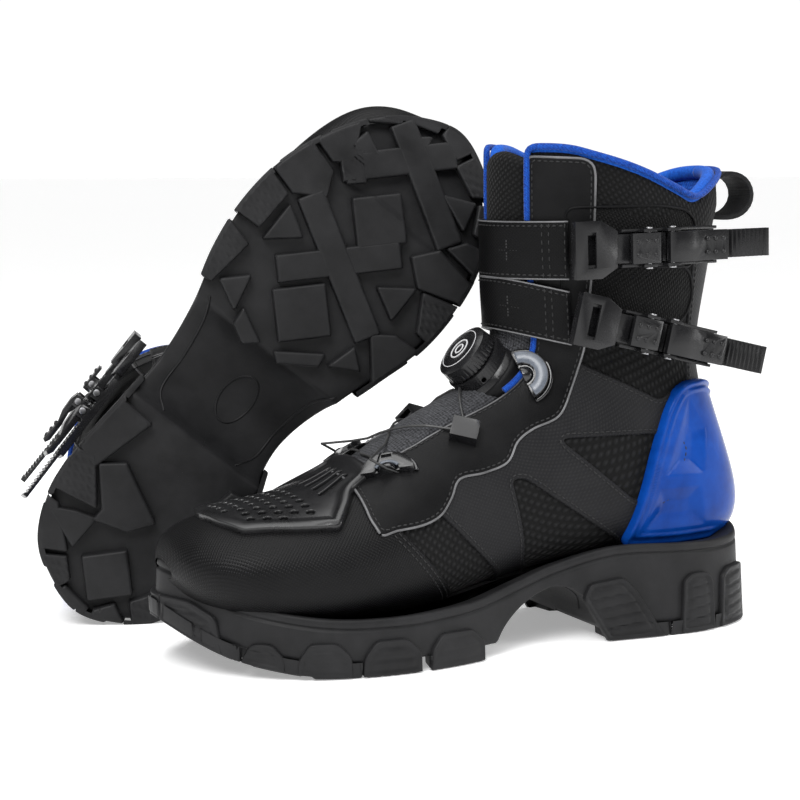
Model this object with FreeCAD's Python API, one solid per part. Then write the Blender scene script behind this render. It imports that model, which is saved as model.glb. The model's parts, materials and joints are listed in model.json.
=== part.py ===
"""A pair of short motorcycle riding boots: the left boot stands, the right boot leans against it.

Each boot is modelled once in its own frame, in millimetres: x runs forward from the back of the heel,
y is positive on the outer (lateral) side, z is up from the ground.  The left boot is turned so that its
toe points along -X.  The right boot is its mirror image, tipped back on its heel with the sole upright.
"""
import FreeCAD
import Part
import math
import os
from FreeCAD import Vector

# ---- driving dimensions -------------------------------------------------------------------------
LUG_DEPTH = 6.5            # tread depth
RUBBER_RELIEF = 1.6        # how far the side blocks stand proud of the rubber wall
RIM_LEAN = 4.0             # how far the rubber wall leans in from the ground to its rim
SHELL = 2.5                # outer leather and mesh
STIFFENER = 1.5            # toe cap and heel counter
LINING = 3.4               # padded lining
GAP = 0.3                  # room between neighbouring layers
THROAT_HALF = 21.0         # half width of the opening that the tongue fills
GUARD_THICK = 2.7          # toe guard
HEEL_GUARD_THICK = 5.0
STRAP_THICK = 3.0
STRAP_STAND_OFF = 1.0      # strap above the shaft
UPPER_STRAP_WIDTH = 28.0
LOWER_STRAP_WIDTH = 26.0
KNOB_RADIUS = 15.0
POST_RADIUS = 4.4          # hollow post the drum turns on
SHAFT_RADIUS = 2.6         # shaft of the ratchet plate, runs in the knob
RUN_FIT = 0.05
WIRE_RADIUS = 0.6
TOOTH_PITCH = 2.5
PIN_RADIUS = 1.2
PIN_HEIGHT = 8.2           # buckle pins above the buckle's own base level
BARREL_RADIUS = 2.1
TAB_PIN = -13.0            # places of the two pins along the buckle
LEVER_PIN = 0.0

# ---- sole outline at the tread, seen from above: outer side, toe, inner side, heel ----------------
OUTER_SIDE = [(6, 20), (18, 36), (40, 46), (65, 48), (95, 46), (125, 45), (155, 49), (185, 57),
              (212, 60), (240, 57), (266, 47), (287, 33), (302, 16)]
INNER_SIDE = [(304, -24), (288, -40), (264, -52), (238, -57), (210, -56), (182, -48), (155, -40),
              (125, -36), (95, -38), (65, -43), (40, -43), (18, -34), (6, -19)]
OUTLINE = [(0, 0)] + OUTER_SIDE + [(311, -5)] + INNER_SIDE

# ---- side profiles, (x, z) -----------------------------------------------------------------------
RUBBER_TOP = [(-12, 49), (20, 45), (52, 45), (92, 46), (125, 40), (147, 34), (168, 29), (190, 27),
              (215, 26), (247, 27), (272, 31), (288, 36), (297, 45), (320, 54)]
HEEL_ROLL = [(-12, 5), (-4, 2), (4, 0.4), (12, 0)]
TOE_ROLL = [(232, 0), (252, 1.0), (265, 2.8), (285, 8), (300, 16), (318, 30)]
ARCH = [(101, -5), (105, 16), (115, 26), (127, 29), (142, 24), (156, 13), (167, -5)]
FEATHER = [(-20, 37), (34, 37), (72, 36), (108, 35), (138, 31), (164, 25), (188, 21), (212, 20),
           (236, 20), (258, 22), (278, 25), (292, 29), (320, 42)]
TOP_LINE = [(-30, 226), (5, 227), (18, 227), (32, 221), (48, 214), (61, 218), (83, 227), (105, 234),
            (124, 238), (170, 236)]

# ---- sections of the upper: front point, back point, half widths, roundness ------------------------
# (front x, front z, back x, back z, outer half width, inner half width, top exponent, bottom exponent)
SECTIONS = [
    (309, 51, 306, 42, 12, 10, 2.0, 2.0),
    (305, 59, 301, 35, 25, 23, 2.0, 2.2),
    (297, 65, 292, 29, 37, 34, 2.0, 2.4),
    (284, 69, 278, 25, 46, 43, 2.0, 2.6),
    (266, 72, 258, 22, 52, 48, 2.1, 2.8),
    (246, 75, 236, 20, 55, 51, 2.1, 2.8),
    (226, 82, 212, 20, 54, 51, 2.0, 2.8),
    (207, 93, 188, 21, 50, 47, 2.0, 2.8),
    (190, 104, 164, 25, 45, 42, 2.0, 2.8),
    (173, 113, 138, 31, 41, 37, 2.1, 2.8),
    (157, 121, 108, 35, 39, 35, 2.1, 2.8),
    (146, 128, 72, 36, 38, 35, 2.2, 2.7),
    (140, 136, 34, 37, 38, 36, 2.2, 2.6),
    (137, 147, 8, 50, 37, 36, 2.2, 2.4),
    (137, 160, 10, 78, 37, 36, 2.2, 2.2),
    (138, 174, 20, 105, 38, 37, 2.1, 2.1),
    (138, 188, 27, 130, 41, 40, 2.0, 2.0),
    (138, 203, 25, 160, 44, 43, 2.0, 2.0),
    (138, 220, 20, 190, 46, 45, 2.0, 2.0),
    (138, 240, 17, 220, 47, 46, 2.0, 2.0),
    (138, 262, 14, 250, 48, 47, 2.0, 2.0),
]
SECTION_POINTS = 24
TOE_START = 250.0          # sections ahead of this also move forward as the surface grows

# ---- dial, buckles ---------------------------------------------------------------------------------
DIAL_SEAT = Vector(142.5, 0, 129.5)
DIAL_AXIS = Vector(0.77, 0, 0.64)
BUCKLES = {                # centre (x, z), slope of the ladder in degrees, strap width, y of the shaft side
    "upper": (70.0, 191.0, 1.5, UPPER_STRAP_WIDTH, 45.6),
    "lower": (68.0, 146.5, -13.0, LOWER_STRAP_WIDTH, 42.6),
}

# ---- where the two boots stand in the row frame ------------------------------------------------------
RIGHT_FORWARD = Vector(0.614, -0.1476, 0.7755)
RIGHT_UP = Vector(0.267, 0.963, -0.0277)
RIGHT_HEEL = Vector(-322, 97.6, 9.58)
CENTRE_SHIFT = Vector(166.36, -130.53, 0)


# ==== helpers ==========================================================================================
def closed_spline(points):
    """Smooth closed wire through the points; every wire of one loft gets the same even knots."""
    count = len(points)
    curve = Part.BSplineCurve()
    curve.interpolate(Points=[Vector(*p) for p in points], PeriodicFlag=True,
                      Parameters=[k / count for k in range(count + 1)])
    return Part.Wire([curve.toShape()])


def side_prism(points, low, high):
    """Solid of a closed (x, z) outline, from y = low to y = high."""
    p = [Vector(x, low, z) for x, z in points]
    face = Part.Face(Part.makePolygon(p + [p[0]]))
    return face.extrude(Vector(0, high - low, 0))


def smooth_prism(runs, level, wide):
    """Everything between (x, z) runs and a level; a run of two points is straight, a longer one smooth."""
    edges = []
    for run in runs:
        points = [Vector(x, -wide, z) for x, z in run]
        curve = Part.BSplineCurve()
        curve.interpolate(points)
        edges.append(Part.makeLine(*points) if len(points) == 2 else curve.toShape())
    first, last = runs[0][0], runs[-1][-1]
    corners = [Vector(last[0], -wide, last[1]), Vector(last[0], -wide, level),
               Vector(first[0], -wide, level), Vector(first[0], -wide, first[1])]
    edges += [Part.makeLine(p, q) for p, q in zip(corners, corners[1:])]
    return Part.Face(Part.Wire(edges)).extrude(Vector(0, 2 * wide, 0))


def under_tread(dz, floor=-30.0, wide=120.0):
    """Everything under the tread surface raised by dz: flat, with a roll at heel and toe."""
    heel, toe = shift(HEEL_ROLL, dz), shift(TOE_ROLL, dz)
    return smooth_prism([heel, [heel[-1], toe[0]], toe], floor, wide)


def below(profile, floor=-30.0, wide=120.0):
    """Everything under an (x, z) profile."""
    return smooth_prism([profile], floor, wide)


def above(profile, ceiling=330.0, wide=120.0):
    """Everything over an (x, z) profile."""
    return smooth_prism([profile], ceiling, wide)


def resample(profile, step=6.0):
    """The smooth curve through a profile, as short runs."""
    curve = Part.BSplineCurve()
    curve.interpolate([Vector(x, 0, z) for x, z in profile])
    count = max(4, int(curve.length() / step))
    found = curve.discretize(count)
    return [(p.x, p.z) for p in found]


def shift(profile, dz):
    return [(x, z + dz) for x, z in profile]


def plan_prism(points, low, high):
    """Solid of a closed (x, y) polygon from z = low to z = high."""
    p = [Vector(x, y, low) for x, y in points]
    return Part.Face(Part.makePolygon(p + [p[0]])).extrude(Vector(0, 0, high - low))


def outline_wire(grow, z):
    """The sole outline, moved outward by grow, at height z."""
    n = len(OUTLINE)
    points = []
    for i, (x, y) in enumerate(OUTLINE):
        ax, ay = OUTLINE[i - 1]
        bx, by = OUTLINE[(i + 1) % n]
        tx, ty = bx - ax, by - ay
        size = math.hypot(tx, ty)
        points.append((x - ty / size * grow, y + tx / size * grow, z))
    return closed_spline(points)


def outline_solid(grow_low, low, grow_high, high):
    return Part.makeLoft([outline_wire(grow_low, low), outline_wire(grow_high, high)], True, True)


def section_wire(section, grow):
    """One closed section of the upper, grown outward by grow."""
    fx, fz, bx, bz, outer, inner, top, bottom = section
    toe_share = max(0.0, min(1.0, (fx - TOE_START) / (309.0 - TOE_START))) ** 2
    dx, dz = fx - bx, fz - bz
    size = math.hypot(dx, dz)
    ex, ez = dx / size, dz / size
    half_long = max(size / 2 + grow, 1.5)
    cx, cz = (fx + bx) / 2 + grow * toe_share, (fz + bz) / 2
    fine = []
    for k in range(SECTION_POINTS * 10):
        angle = 2 * math.pi * k / (SECTION_POINTS * 10)
        c, s = math.cos(angle), math.sin(angle)
        power = 2.0 / (top if c > 0 else bottom)
        half_wide = max((outer if s > 0 else inner) + grow, 1.5)
        along = math.copysign(abs(c) ** power, c) * half_long
        across = math.copysign(abs(s) ** power, s) * half_wide
        fine.append(Vector(cx + ex * along, across, cz + ez * along))
    return closed_spline(evenly(fine, SECTION_POINTS))


def evenly(fine, count):
    """Points at equal distances along a closed run of many points."""
    total = [0.0]
    for a, b in zip(fine, fine[1:] + fine[:1]):
        total.append(total[-1] + (b - a).Length)
    found = []
    i = 0
    for k in range(count):
        want = total[-1] * k / count
        while total[i + 1] < want:
            i += 1
        share = (want - total[i]) / (total[i + 1] - total[i])
        found.append(fine[i] + (fine[(i + 1) % len(fine)] - fine[i]) * share)
    return found


_lofts = {}


def upper_loft(grow):
    """The solid inside the upper's surface, grown by grow, open-ended above the top line."""
    if grow not in _lofts:
        solid = Part.makeLoft([section_wire(s, grow) for s in SECTIONS], True, False)
        if solid.Volume < 0:
            solid.reverse()
        _lofts[grow] = solid
    return _lofts[grow]


def side_point(x, z, side):
    """Where the upper's surface is at (x, z) on one side (+1 outer, -1 inner)."""
    line = Part.makeLine(Vector(x, side * 110, z), Vector(x, 0, z))
    inside = line.common(upper_loft(0.0))
    y = max(side * v.Point.y for v in inside.Vertexes)
    return Vector(x, side * y, z)


def side_normal(x, z, side):
    """Outward direction of the surface there."""
    reach = 4.0
    px = side_point(x + reach, z, side) - side_point(x - reach, z, side)
    pz = side_point(x, z + reach, side) - side_point(x, z - reach, side)
    n = px.cross(pz)
    n.normalize()
    return n if n.y * side > 0 else n * -1


def stand(shape, origin, normal, along):
    """Moves a shape built with z as its outward direction and x as its long one to a place on the boot."""
    z = Vector(normal).normalize()
    x = Vector(along) - z * z.dot(Vector(along))
    x.normalize()
    y = z.cross(x)
    m = FreeCAD.Matrix(x.x, y.x, z.x, origin.x, x.y, y.y, z.y, origin.y, x.z, y.z, z.z, origin.z, 0, 0, 0, 1)
    return moved(shape, m)


def moved(shape, matrix):
    copy = shape.copy()
    copy.Placement = FreeCAD.Placement(matrix).multiply(copy.Placement)
    return copy


def box(x0, x1, y0, y1, z0, z1):
    return Part.makeBox(x1 - x0, y1 - y0, z1 - z0, Vector(x0, y0, z0))


def rod(a, b, radius):
    d = b - a
    return Part.makeCylinder(radius, d.Length, a, d)


def solids_of(shape):
    return [s for s in shape.Solids if s.Volume > 1.0]


# ==== sole ================================================================================================
def diamond(x, y, half):
    return [(x + half, y), (x, y + half), (x - half, y), (x, y - half)]


def bar(x0, y0, x1, y1, width):
    """A straight rib of the tread as a polygon."""
    d = math.hypot(x1 - x0, y1 - y0)
    nx, ny = -(y1 - y0) / d * width / 2, (x1 - x0) / d * width / 2
    return [(x0 + nx, y0 + ny), (x1 + nx, y1 + ny), (x1 - nx, y1 - ny), (x0 - nx, y0 - ny)]


EDGE = 75                  # y outside the sole: edge lugs are cut off at the outline
TREAD_LUGS = {
    "diamonds": [diamond(186, 3, 18), diamond(247, 1, 17), diamond(22, -2, 15)],
    "crosses": [bar(196, 26, 238, -16, 10), bar(233, 33, 199, -28, 10), bar(258, 30, 297, -8, 10),
                bar(292, 18, 262, -32, 10), bar(268, 34, 255, 22, 9)],
    "triangles": [[(224, 41), (216, 27), (204, 41)], [(220, -20), (231, -35), (212, -35)],
                  [(278, 33), (273, 22), (265, 36)], [(290, 14), (298, 5), (283, 4)],
                  [(278, -18), (285, -33), (271, -36)], [(174, 45), (184, 35), (167, 31)],
                  [(169, 27), (161, 11), (156, 17), (161, 26)], [(188, -29), (181, -38), (174, -25)],
                  [(162, 1), (176, -19), (170, -20), (159, -3)]],
    "outer_edge": [[(168, EDGE), (171, 49), (196, 46), (203, EDGE)], [(206, EDGE), (207, 47), (228, 46), (236, EDGE)],
                   [(239, EDGE), (231, 44), (240, 30), (251, 35), (263, EDGE)],
                   [(267, EDGE), (256, 38), (262, 30), (282, 40), (291, EDGE)],
                   [(284, 36), (294, 22), (330, 40), (300, 60)]],
    "inner_edge": [[(178, -EDGE), (178, -50), (199, -32), (206, -42), (208, -EDGE)],
                   [(212, -EDGE), (215, -50), (232, -40), (242, -EDGE)],
                   [(246, -EDGE), (233, -36), (243, -24), (254, -33), (250, -58)],
                   [(254, -EDGE), (258, -36), (266, -42), (274, -EDGE)],
                   [(278, -EDGE), (273, -42), (286, -36), (302, -EDGE)]],
    "toe": [[(298, 18), (303, 4), (340, 4), (340, 40)], [(304, 0), (298, -12), (340, -34), (340, 0)],
            [(295, -15), (288, -30), (310, -60), (340, -38)]],
    "heel": [[(97, 60), (95, 28), (62, 37), (70, 60)], [(60, 60), (66, 40), (46, 24), (40, 60)],
             [(72, 25), (64, 35), (47, 20), (24, 21), (32, 42), (38, 30), (46, 4), (57, -4)],
             [(36, 60), (36, 40), (20, 22), (10, 40)], [(7, 36), (17, 20), (9, 12), (-20, 24)],
             [(-20, 20), (5, 11), (3, -4), (-20, -6)], [(-20, -9), (4, -8), (12, -14), (4, -30), (-20, -34)],
             [(8, -30), (18, -20), (30, -28), (20, -60), (0, -50)],
             [(34, -60), (36, -26), (58, -20), (64, -60)], [(68, -60), (64, -20), (92, -26), (97, -60)]],
}


def tread_block(polygon, grow_in=0.8):
    """One lug: a polygon that narrows a little towards the ground."""
    cx = sum(p[0] for p in polygon) / len(polygon)
    cy = sum(p[1] for p in polygon) / len(polygon)
    small = [(x + (cx - x) * grow_in / max(math.hypot(cx - x, cy - y), 6), y + (cy - y) * grow_in /
              max(math.hypot(cx - x, cy - y), 6)) for x, y in polygon]
    low = Part.makePolygon([Vector(x, y, -3) for x, y in small + small[:1]])
    high = Part.makePolygon([Vector(x, y, 40) for x, y in polygon + polygon[:1]])
    return Part.makeLoft([low, high], True, True)


def side_blocks():
    """(x, z) outlines of the raised blocks on the rubber wall."""
    found = []
    for start, end, slope in ((170, 201, 7), (205, 234, 7), (238, 262, 6), (266, 284, 5)):
        found.append([(start, -5), (end, -5), (end - 1, 9), (end - slope, 16), (start + slope, 16), (start, 10)])
    found.append([(103, -5), (62, -5), (69, 22), (84, 28), (98, 24)])
    for start, end in ((37, 59), (10, 34)):
        found.append([(start, -5), (end, -5), (end - 2, 26), (end - 7, 30), (start + 6, 30), (start + 2, 26)])
    return found


def make_outsole():
    wall = outline_solid(0, -8, -RIM_LEAN, 64)
    wall = wall.cut(above(RUBBER_TOP))
    wall = wall.cut(under_tread(LUG_DEPTH))
    wall = wall.cut(below(ARCH))
    wall = wall.cut(upper_loft(GAP))
    wide = outline_solid(RUBBER_RELIEF, -8, RUBBER_RELIEF - RIM_LEAN, 64)
    ring = wide.cut(outline_solid(-1.5, -8, -1.5 - RIM_LEAN, 64))
    slab = under_tread(LUG_DEPTH + 2).cut(under_tread(0))
    lugs = []
    for group in TREAD_LUGS.values():
        for polygon in group:
            lugs += solids_of(tread_block(polygon).common(slab).common(wide))
    under = under_tread(0)
    for polygon in side_blocks():
        for low, high in ((-90, 0), (0, 90)):
            block = side_prism(polygon, low, high).common(ring).cut(under)
            lugs += solids_of(block)
    whole = wall.fuse(lugs).removeSplitter()
    whole = whole.cut(make_shank(0.2))
    return max(whole.Solids, key=lambda s: s.Volume)


def make_shank(grow=0.0):
    """Steel strip buried in the rubber under the arch."""
    line = [p for p in resample(FEATHER) if 66 - grow < p[0] < 172 + grow]
    low, high = shift(line, -3.6 - grow), shift(line, -2.1 + grow)
    return side_prism(low + high[::-1], -8 - grow, 8 + grow)


def make_insole_board():
    slab = below(shift(FEATHER, SHELL + GAP + 2.2))
    return upper_loft(-SHELL - GAP).common(slab)


def make_footbed():
    slab = below(shift(FEATHER, SHELL + 10.0)).cut(below(shift(FEATHER, SHELL + 2 * GAP + 2.2)))
    return upper_loft(-SHELL - GAP - 0.2).common(slab)


# ==== upper ===============================================================================================
THROAT = [(222, 110), (214, 76), (190, 78), (163, 92), (136, 108), (116, 130), (112, 160), (112, 290),
          (170, 290), (172, 150), (190, 125)]


def throat(half):
    return side_prism(THROAT, -half, half)


def make_upper():
    shell = upper_loft(0.0).cut(upper_loft(-SHELL)).cut(above(TOP_LINE))
    return max(shell.cut(throat(THROAT_HALF)).Solids, key=lambda s: s.Volume)


def layer(outer, inner, room):
    """The part of the shell between two growths that lies in a room."""
    return upper_loft(outer).common(room).cut(upper_loft(inner))


def make_stiffeners():
    outer = -SHELL - GAP
    toe = layer(outer, outer - STIFFENER, box(262, 320, -80, 80, 20, 100))
    heel = layer(outer, outer - STIFFENER,
                 side_prism([(-20, 40), (60, 40), (52, 80), (40, 96), (-20, 96)], -80, 80))
    under = below(shift(FEATHER, SHELL + 10.6))
    return Part.makeCompound(solids_of(toe.cut(under)) + solids_of(heel.cut(under)))


def make_lining():
    start = -SHELL - GAP - STIFFENER - GAP
    shell = upper_loft(start).cut(upper_loft(start - LINING)).cut(above(shift(TOP_LINE, 4)))
    shell = shell.cut(below(shift(FEATHER, SHELL + 10.6))).cut(throat(THROAT_HALF))
    return max(shell.Solids, key=lambda s: s.Volume)


def make_tongue():
    start = -0.6
    room = side_prism([(221, 110), (213, 77), (190, 79), (163, 93), (137, 109), (117, 130),
                       (113, 160), (113, 290), (170, 290), (172, 150), (190, 125)],
                      -THROAT_HALF + 0.5, THROAT_HALF - 0.5)
    pad = layer(start, start - 7.5, room).cut(above(shift(TOP_LINE, 4)))
    seat = dial_place(Part.makeCylinder(19.4, 30, Vector(0, 0, -GAP)))
    return max(pad.cut(seat).Solids, key=lambda s: s.Volume)


TOE_GUARD = [(289, 0), (286, 16), (279, 30), (258, 38), (238, 44), (231, 33), (226, 25), (213, 22),
             (213, -22), (226, -24), (231, -31), (238, -41), (258, -35), (279, -28), (286, -15)]


def make_toe_guard():
    plate = layer(GAP + GUARD_THICK, GAP, plan_prism(TOE_GUARD, 56, 120))
    holes = []
    for row in range(5):
        x = 276 - 8 * row
        count = 2 + row // 2
        for k in range(-count, count + 1):
            y = k * 8 + (4 if row % 2 else 0)
            if abs(y) < 17 + 3 * row:
                holes.append(Part.makeCylinder(1.9, 60, Vector(x, y, 60), Vector(0, 0, 1)))
    plate = plate.cut(Part.makeCompound(holes))
    for side in (1, -1):
        point, normal, along = lace_seats(side)[-1]
        seat = Part.makeCylinder(CRESCENT_RADIUS + 0.5, 14, Vector(0, 0, -4))
        plate = plate.cut(stand(seat, point, normal, along))
    return max(plate.Solids, key=lambda s: s.Volume)


HEEL_GUARD = [(-25, 50), (20, 46.5), (83, 47.5), (72, 86), (63, 112), (57, 121), (50, 124), (36, 124),
              (26, 119), (-25, 119)]


def make_heel_guard():
    plate = layer(GAP + HEEL_GUARD_THICK, GAP, side_prism(HEEL_GUARD, -90, 90))
    plate = plate.cut(below(shift(RUBBER_TOP, GAP)))
    return max(plate.Solids, key=lambda s: s.Volume)


LOOP_OUTER = [(19.5, 203), (10, 202), (-2, 206), (-6, 214), (-3, 222), (4, 226), (17, 224)]
LOOP_INNER = [(17.8, 205.2), (10, 204.2), (-0.5, 208), (-3.8, 214), (-1.5, 220.5), (4, 223.8), (16, 222)]
LOOP_HALF = 10.0
PRESSED = 0.58             # the leaning boot lies on its loop, which is pressed to this share of its depth


def make_pull_loop(pressed=1.0):
    """Webbing band whose two ends are sewn to the back of the shaft."""
    root = 18.0
    outer = [(root + (x - root) * pressed, z) for x, z in LOOP_OUTER]
    inner = [(root + (x - root) * pressed, z) for x, z in LOOP_INNER]
    band = side_prism(resample(outer, 3) + resample(inner, 3)[::-1], -LOOP_HALF, LOOP_HALF)
    return band.cut(upper_loft(0.2))


# ==== lacing ================================================================================================
CRESCENT_RADIUS = 12.5
CRESCENTS = [(133, 128, 118.0), (207, 86, 150.0)]       # x, z, tilt of the straight side in degrees
HOOK = (168, 103, 146.0)


def crescent():
    """Half disc with a round hub and a groove for the wire along its straight side."""
    disc = Part.makeCylinder(CRESCENT_RADIUS, 4.0, Vector(0, 0, -0.6))
    half = disc.common(box(-20, 20, 0, 20, -2, 6))
    half = half.cut(Part.makeCylinder(CRESCENT_RADIUS * 0.46, 3, Vector(0, 0, 2.2)))
    hub = Part.makeSphere(CRESCENT_RADIUS * 0.36, Vector(0, 1.0, 1.2)).common(box(-20, 20, 0, 20, 0, 8))
    return half.fuse(hub).cut(box(-2.5, 2.5, 8.6, 11, 2.4, 6))


def hook():
    """Folded plastic loop that holds the wire."""
    body = box(-6.5, 6.5, -5.5, 5.5, -0.6, 6.0)
    return body.cut(box(-8, 8, -3.6, 3.2, 1.6, 4.4))


def lace_seats(side):
    """Places of the lace guides on one side: (point, normal, direction) from the ankle down."""
    found = []
    for x, z, tilt in (CRESCENTS[0], HOOK, CRESCENTS[1]):
        a = math.radians(tilt)
        found.append((side_point(x, z, side), side_normal(x, z, side), Vector(math.cos(a), 0, -math.sin(a))))
    return found


def make_lace_guides():
    """Trimmed to the surface that they are sewn on, with room for the wires."""
    found = []
    wires = [rod(a, b, WIRE_RADIUS + GAP) for side in (1, -1) for a, b in route_pairs(side)]
    corners = [Part.makeSphere(WIRE_RADIUS + GAP, p) for side in (1, -1) for p in wire_route(side)]
    room = Part.makeCompound(wires + corners)
    for side in (1, -1):
        seats = lace_seats(side)
        for kind, (p, n, d) in zip((crescent, hook, crescent), seats):
            along = d if side > 0 else d * -1
            shape = kind()
            if kind is crescent:
                shape = shape.mirror(Vector(0, 0, 0), Vector(0, 1, 0)) if side < 0 else shape
            shape = stand(shape, p + n * 0.9, n, along * -1 if side < 0 else along)
            shape = shape.cut(upper_loft(GAP)).cut(room).cut(dial_room())
            found.append(max(shape.Solids, key=lambda s: s.Volume))
    return Part.makeCompound(found)


INSTEP_OUT = Vector(0.62, 0, 0.78)


def lifted(point, room):
    """The point, moved out along the instep's direction where it isn't clear of the surface."""
    line = Part.makeLine(point - INSTEP_OUT * 40, point + INSTEP_OUT * 40)
    depths = [(v.Point - point).dot(INSTEP_OUT) for v in line.common(upper_loft(0.0)).Vertexes]
    return point + INSTEP_OUT * max([0.0] + [depth + room for depth in depths])


_routes = {}


def wire_route(side):
    """Points of one wire from the dial down, crossing between the two rows of guides."""
    if side in _routes:
        return _routes[side]
    near, far = lace_seats(side), lace_seats(-side)
    lift = 1.1 if side > 0 else 2.8

    def at(seat, out, along):
        return seat[0] + seat[1] * out + seat[2] * along

    ends = [dial_point(-7, side * 15.8, 4.6), at(near[0], 5.2, 9.5), at(far[1], 3.9, 0),
            at(near[2], 5.2, -9.5), at(near[2], 5.2, 9.5), Vector(208, 0, 92)]
    points = [ends[0]]
    for a, b in zip(ends, ends[1:]):
        steps = max(1, round((b - a).Length / 9))
        points += [lifted(a + (b - a) * (k / steps), lift) for k in range(1, steps)]
        points.append(lifted(b, lift))
    _routes[side] = points
    return points


def route_pairs(side):
    return list(zip(wire_route(side), wire_route(side)[1:]))


def make_lace_cable():
    found = []
    for side in (1, -1):
        pieces = [rod(a, b, WIRE_RADIUS) for a, b in route_pairs(side)]
        joints = [Part.makeSphere(WIRE_RADIUS, p) for p in wire_route(side)[1:-1]]
        wire = pieces[0].fuse(pieces[1:] + joints).cut(dial_room())
        found.append(max(wire.Solids, key=lambda s: s.Volume))
    return Part.makeCompound(found)


def dial_point(x, y, z):
    """A point given in the dial's frame (x up the tongue, y across, z out along the axis)."""
    out = Vector(DIAL_AXIS).normalize()
    up = Vector(-out.z, 0, out.x)
    return DIAL_SEAT + up * x + Vector(0, y, 0) + out * z


def dial_place(shape):
    return stand(shape, DIAL_SEAT, DIAL_AXIS, Vector(-0.64, 0, 0.77))


def dial_room():
    """The space of the housing and a little more, which its neighbours leave free."""
    flange = Part.makeCone(19.3, 17.1, 3.3, Vector(0, 0, -0.2))
    return dial_place(flange.fuse(Part.makeCylinder(16.3, 9.2)))


def make_dial_housing():
    """Round base with a flange, a well for the drum, a hollow post and two wire exits."""
    body = Part.makeCone(19, 16.8, 3.0).fuse(Part.makeCylinder(16.0, 9.0))
    body = body.cut(Part.makeCylinder(12.6, 8.0, Vector(0, 0, 2.0)))
    body = body.fuse(Part.makeCylinder(POST_RADIUS, 5.6, Vector(0, 0, 1.9)))
    exits = rod(Vector(-7, -24, 4.6), Vector(-7, 24, 4.6), 1.2).cut(Part.makeCylinder(12.0, 20))
    return dial_place(body.cut(Part.makeCylinder(SHAFT_RADIUS + 0.4, 8.0, Vector(0, 0, 1.6))).cut(exits))


def make_dial_spool():
    """Drum that the wire winds on."""
    drum = Part.makeCylinder(12.2, 5.4, Vector(0, 0, 2.3))
    groove = Part.makeTorus(13.2, 2.0, Vector(0, 0, 5.0))
    return dial_place(drum.cut(groove).cut(Part.makeCylinder(POST_RADIUS + RUN_FIT, 10)))


def make_dial_carrier():
    """Ratchet plate and shaft that lift with the knob."""
    plate = Part.makeCylinder(11.6, 1.6, Vector(0, 0, 8.0))
    return dial_place(plate.fuse(Part.makeCylinder(SHAFT_RADIUS, 12.0, Vector(0, 0, 2.0))))


def make_dial_knob():
    """Knurled cap."""
    body = Part.makeCone(KNOB_RADIUS, KNOB_RADIUS - 0.6, 7.0, Vector(0, 0, 9.9))
    body = body.fuse(Part.makeCone(KNOB_RADIUS - 0.6, KNOB_RADIUS - 4.0, 1.6, Vector(0, 0, 16.9)))
    notches = []
    for k in range(36):
        a = 2 * math.pi * k / 36
        edge = Vector((KNOB_RADIUS + 0.35) * math.cos(a), (KNOB_RADIUS + 0.35) * math.sin(a), 9.0)
        notches.append(Part.makeCylinder(0.8, 9.5, edge))
    body = body.cut(Part.makeCompound(notches))
    body = body.cut(Part.makeCylinder(SHAFT_RADIUS + RUN_FIT, 6.0, Vector(0, 0, 8.5)))
    return dial_place(body.cut(Part.makeTorus(5.5, 0.5, Vector(0, 0, 18.5))))


# ==== straps and buckles =================================================================================
def strap_slab(kind, spare=0.0):
    """The slice of space that a strap of this width and slope fills."""
    x, z, slope, width, _ = BUCKLES[kind]
    slab = box(-200, 200, -150, 150, -width / 2 - spare, width / 2 + spare)
    slab.rotate(Vector(0, 0, 0), Vector(0, 1, 0), slope)
    slab.translate(Vector(x, 0, z))
    return slab


def make_strap(kind):
    """Leather strap from the inner side round the front to the plastic coupler."""
    band = layer(STRAP_STAND_OFF + STRAP_THICK, STRAP_STAND_OFF, strap_slab(kind))
    keep = box(60, 200, -120, 0, 90, 260).fuse(box(122.5, 200, -1, 120, 90, 260))
    band = band.common(keep)
    if kind == "lower":
        band = band.cut(strap_slab("upper", 0.5))
    return max(band.Solids, key=lambda s: s.Volume)


def buckle_place(kind, shape):
    """From the buckle's own frame (x back along the ladder, y up the boot, z outward) to the boot."""
    x, z, slope, _, side_y = BUCKLES[kind]
    a = math.radians(slope)
    along = Vector(-math.cos(a), 0, math.sin(a))
    return stand(shape, Vector(x, side_y, z), Vector(0, 1, 0), along)


def pin_bore(x, clearance):
    return rod(Vector(x, -12, PIN_HEIGHT), Vector(x, 12, PIN_HEIGHT), PIN_RADIUS + clearance)


def barrel(x):
    return rod(Vector(x, -7.2, PIN_HEIGHT), Vector(x, 7.2, PIN_HEIGHT), BARREL_RADIUS)


def wide_strip(profile, half=7.2):
    """Solid of an (x, z) outline in the buckle's frame, across its width."""
    face = Part.Face(Part.makePolygon([Vector(x, -half, z) for x, z in profile + profile[:1]]))
    return face.extrude(Vector(0, 2 * half, 0))


def make_buckle_base(kind):
    plate = box(-26, 27, -9, 9, 1.0, 2.6)
    ears = [box(x0, x1, y0, y1, 1.0, 10.0) for x0, x1 in ((-16.6, -9.4), (-3.4, 3.8))
            for y0, y1 in ((-9, -7.6), (7.6, 9))]
    rails = [box(-26, 27, y0, y1, 1.0, 5.2) for y0, y1 in ((-9, -7.6), (7.6, 9))]
    body = plate.fuse(ears + rails)
    for x in (TAB_PIN, LEVER_PIN):
        body = body.cut(pin_bore(x, 0.02))
    return buckle_place(kind, body.removeSplitter())


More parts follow.
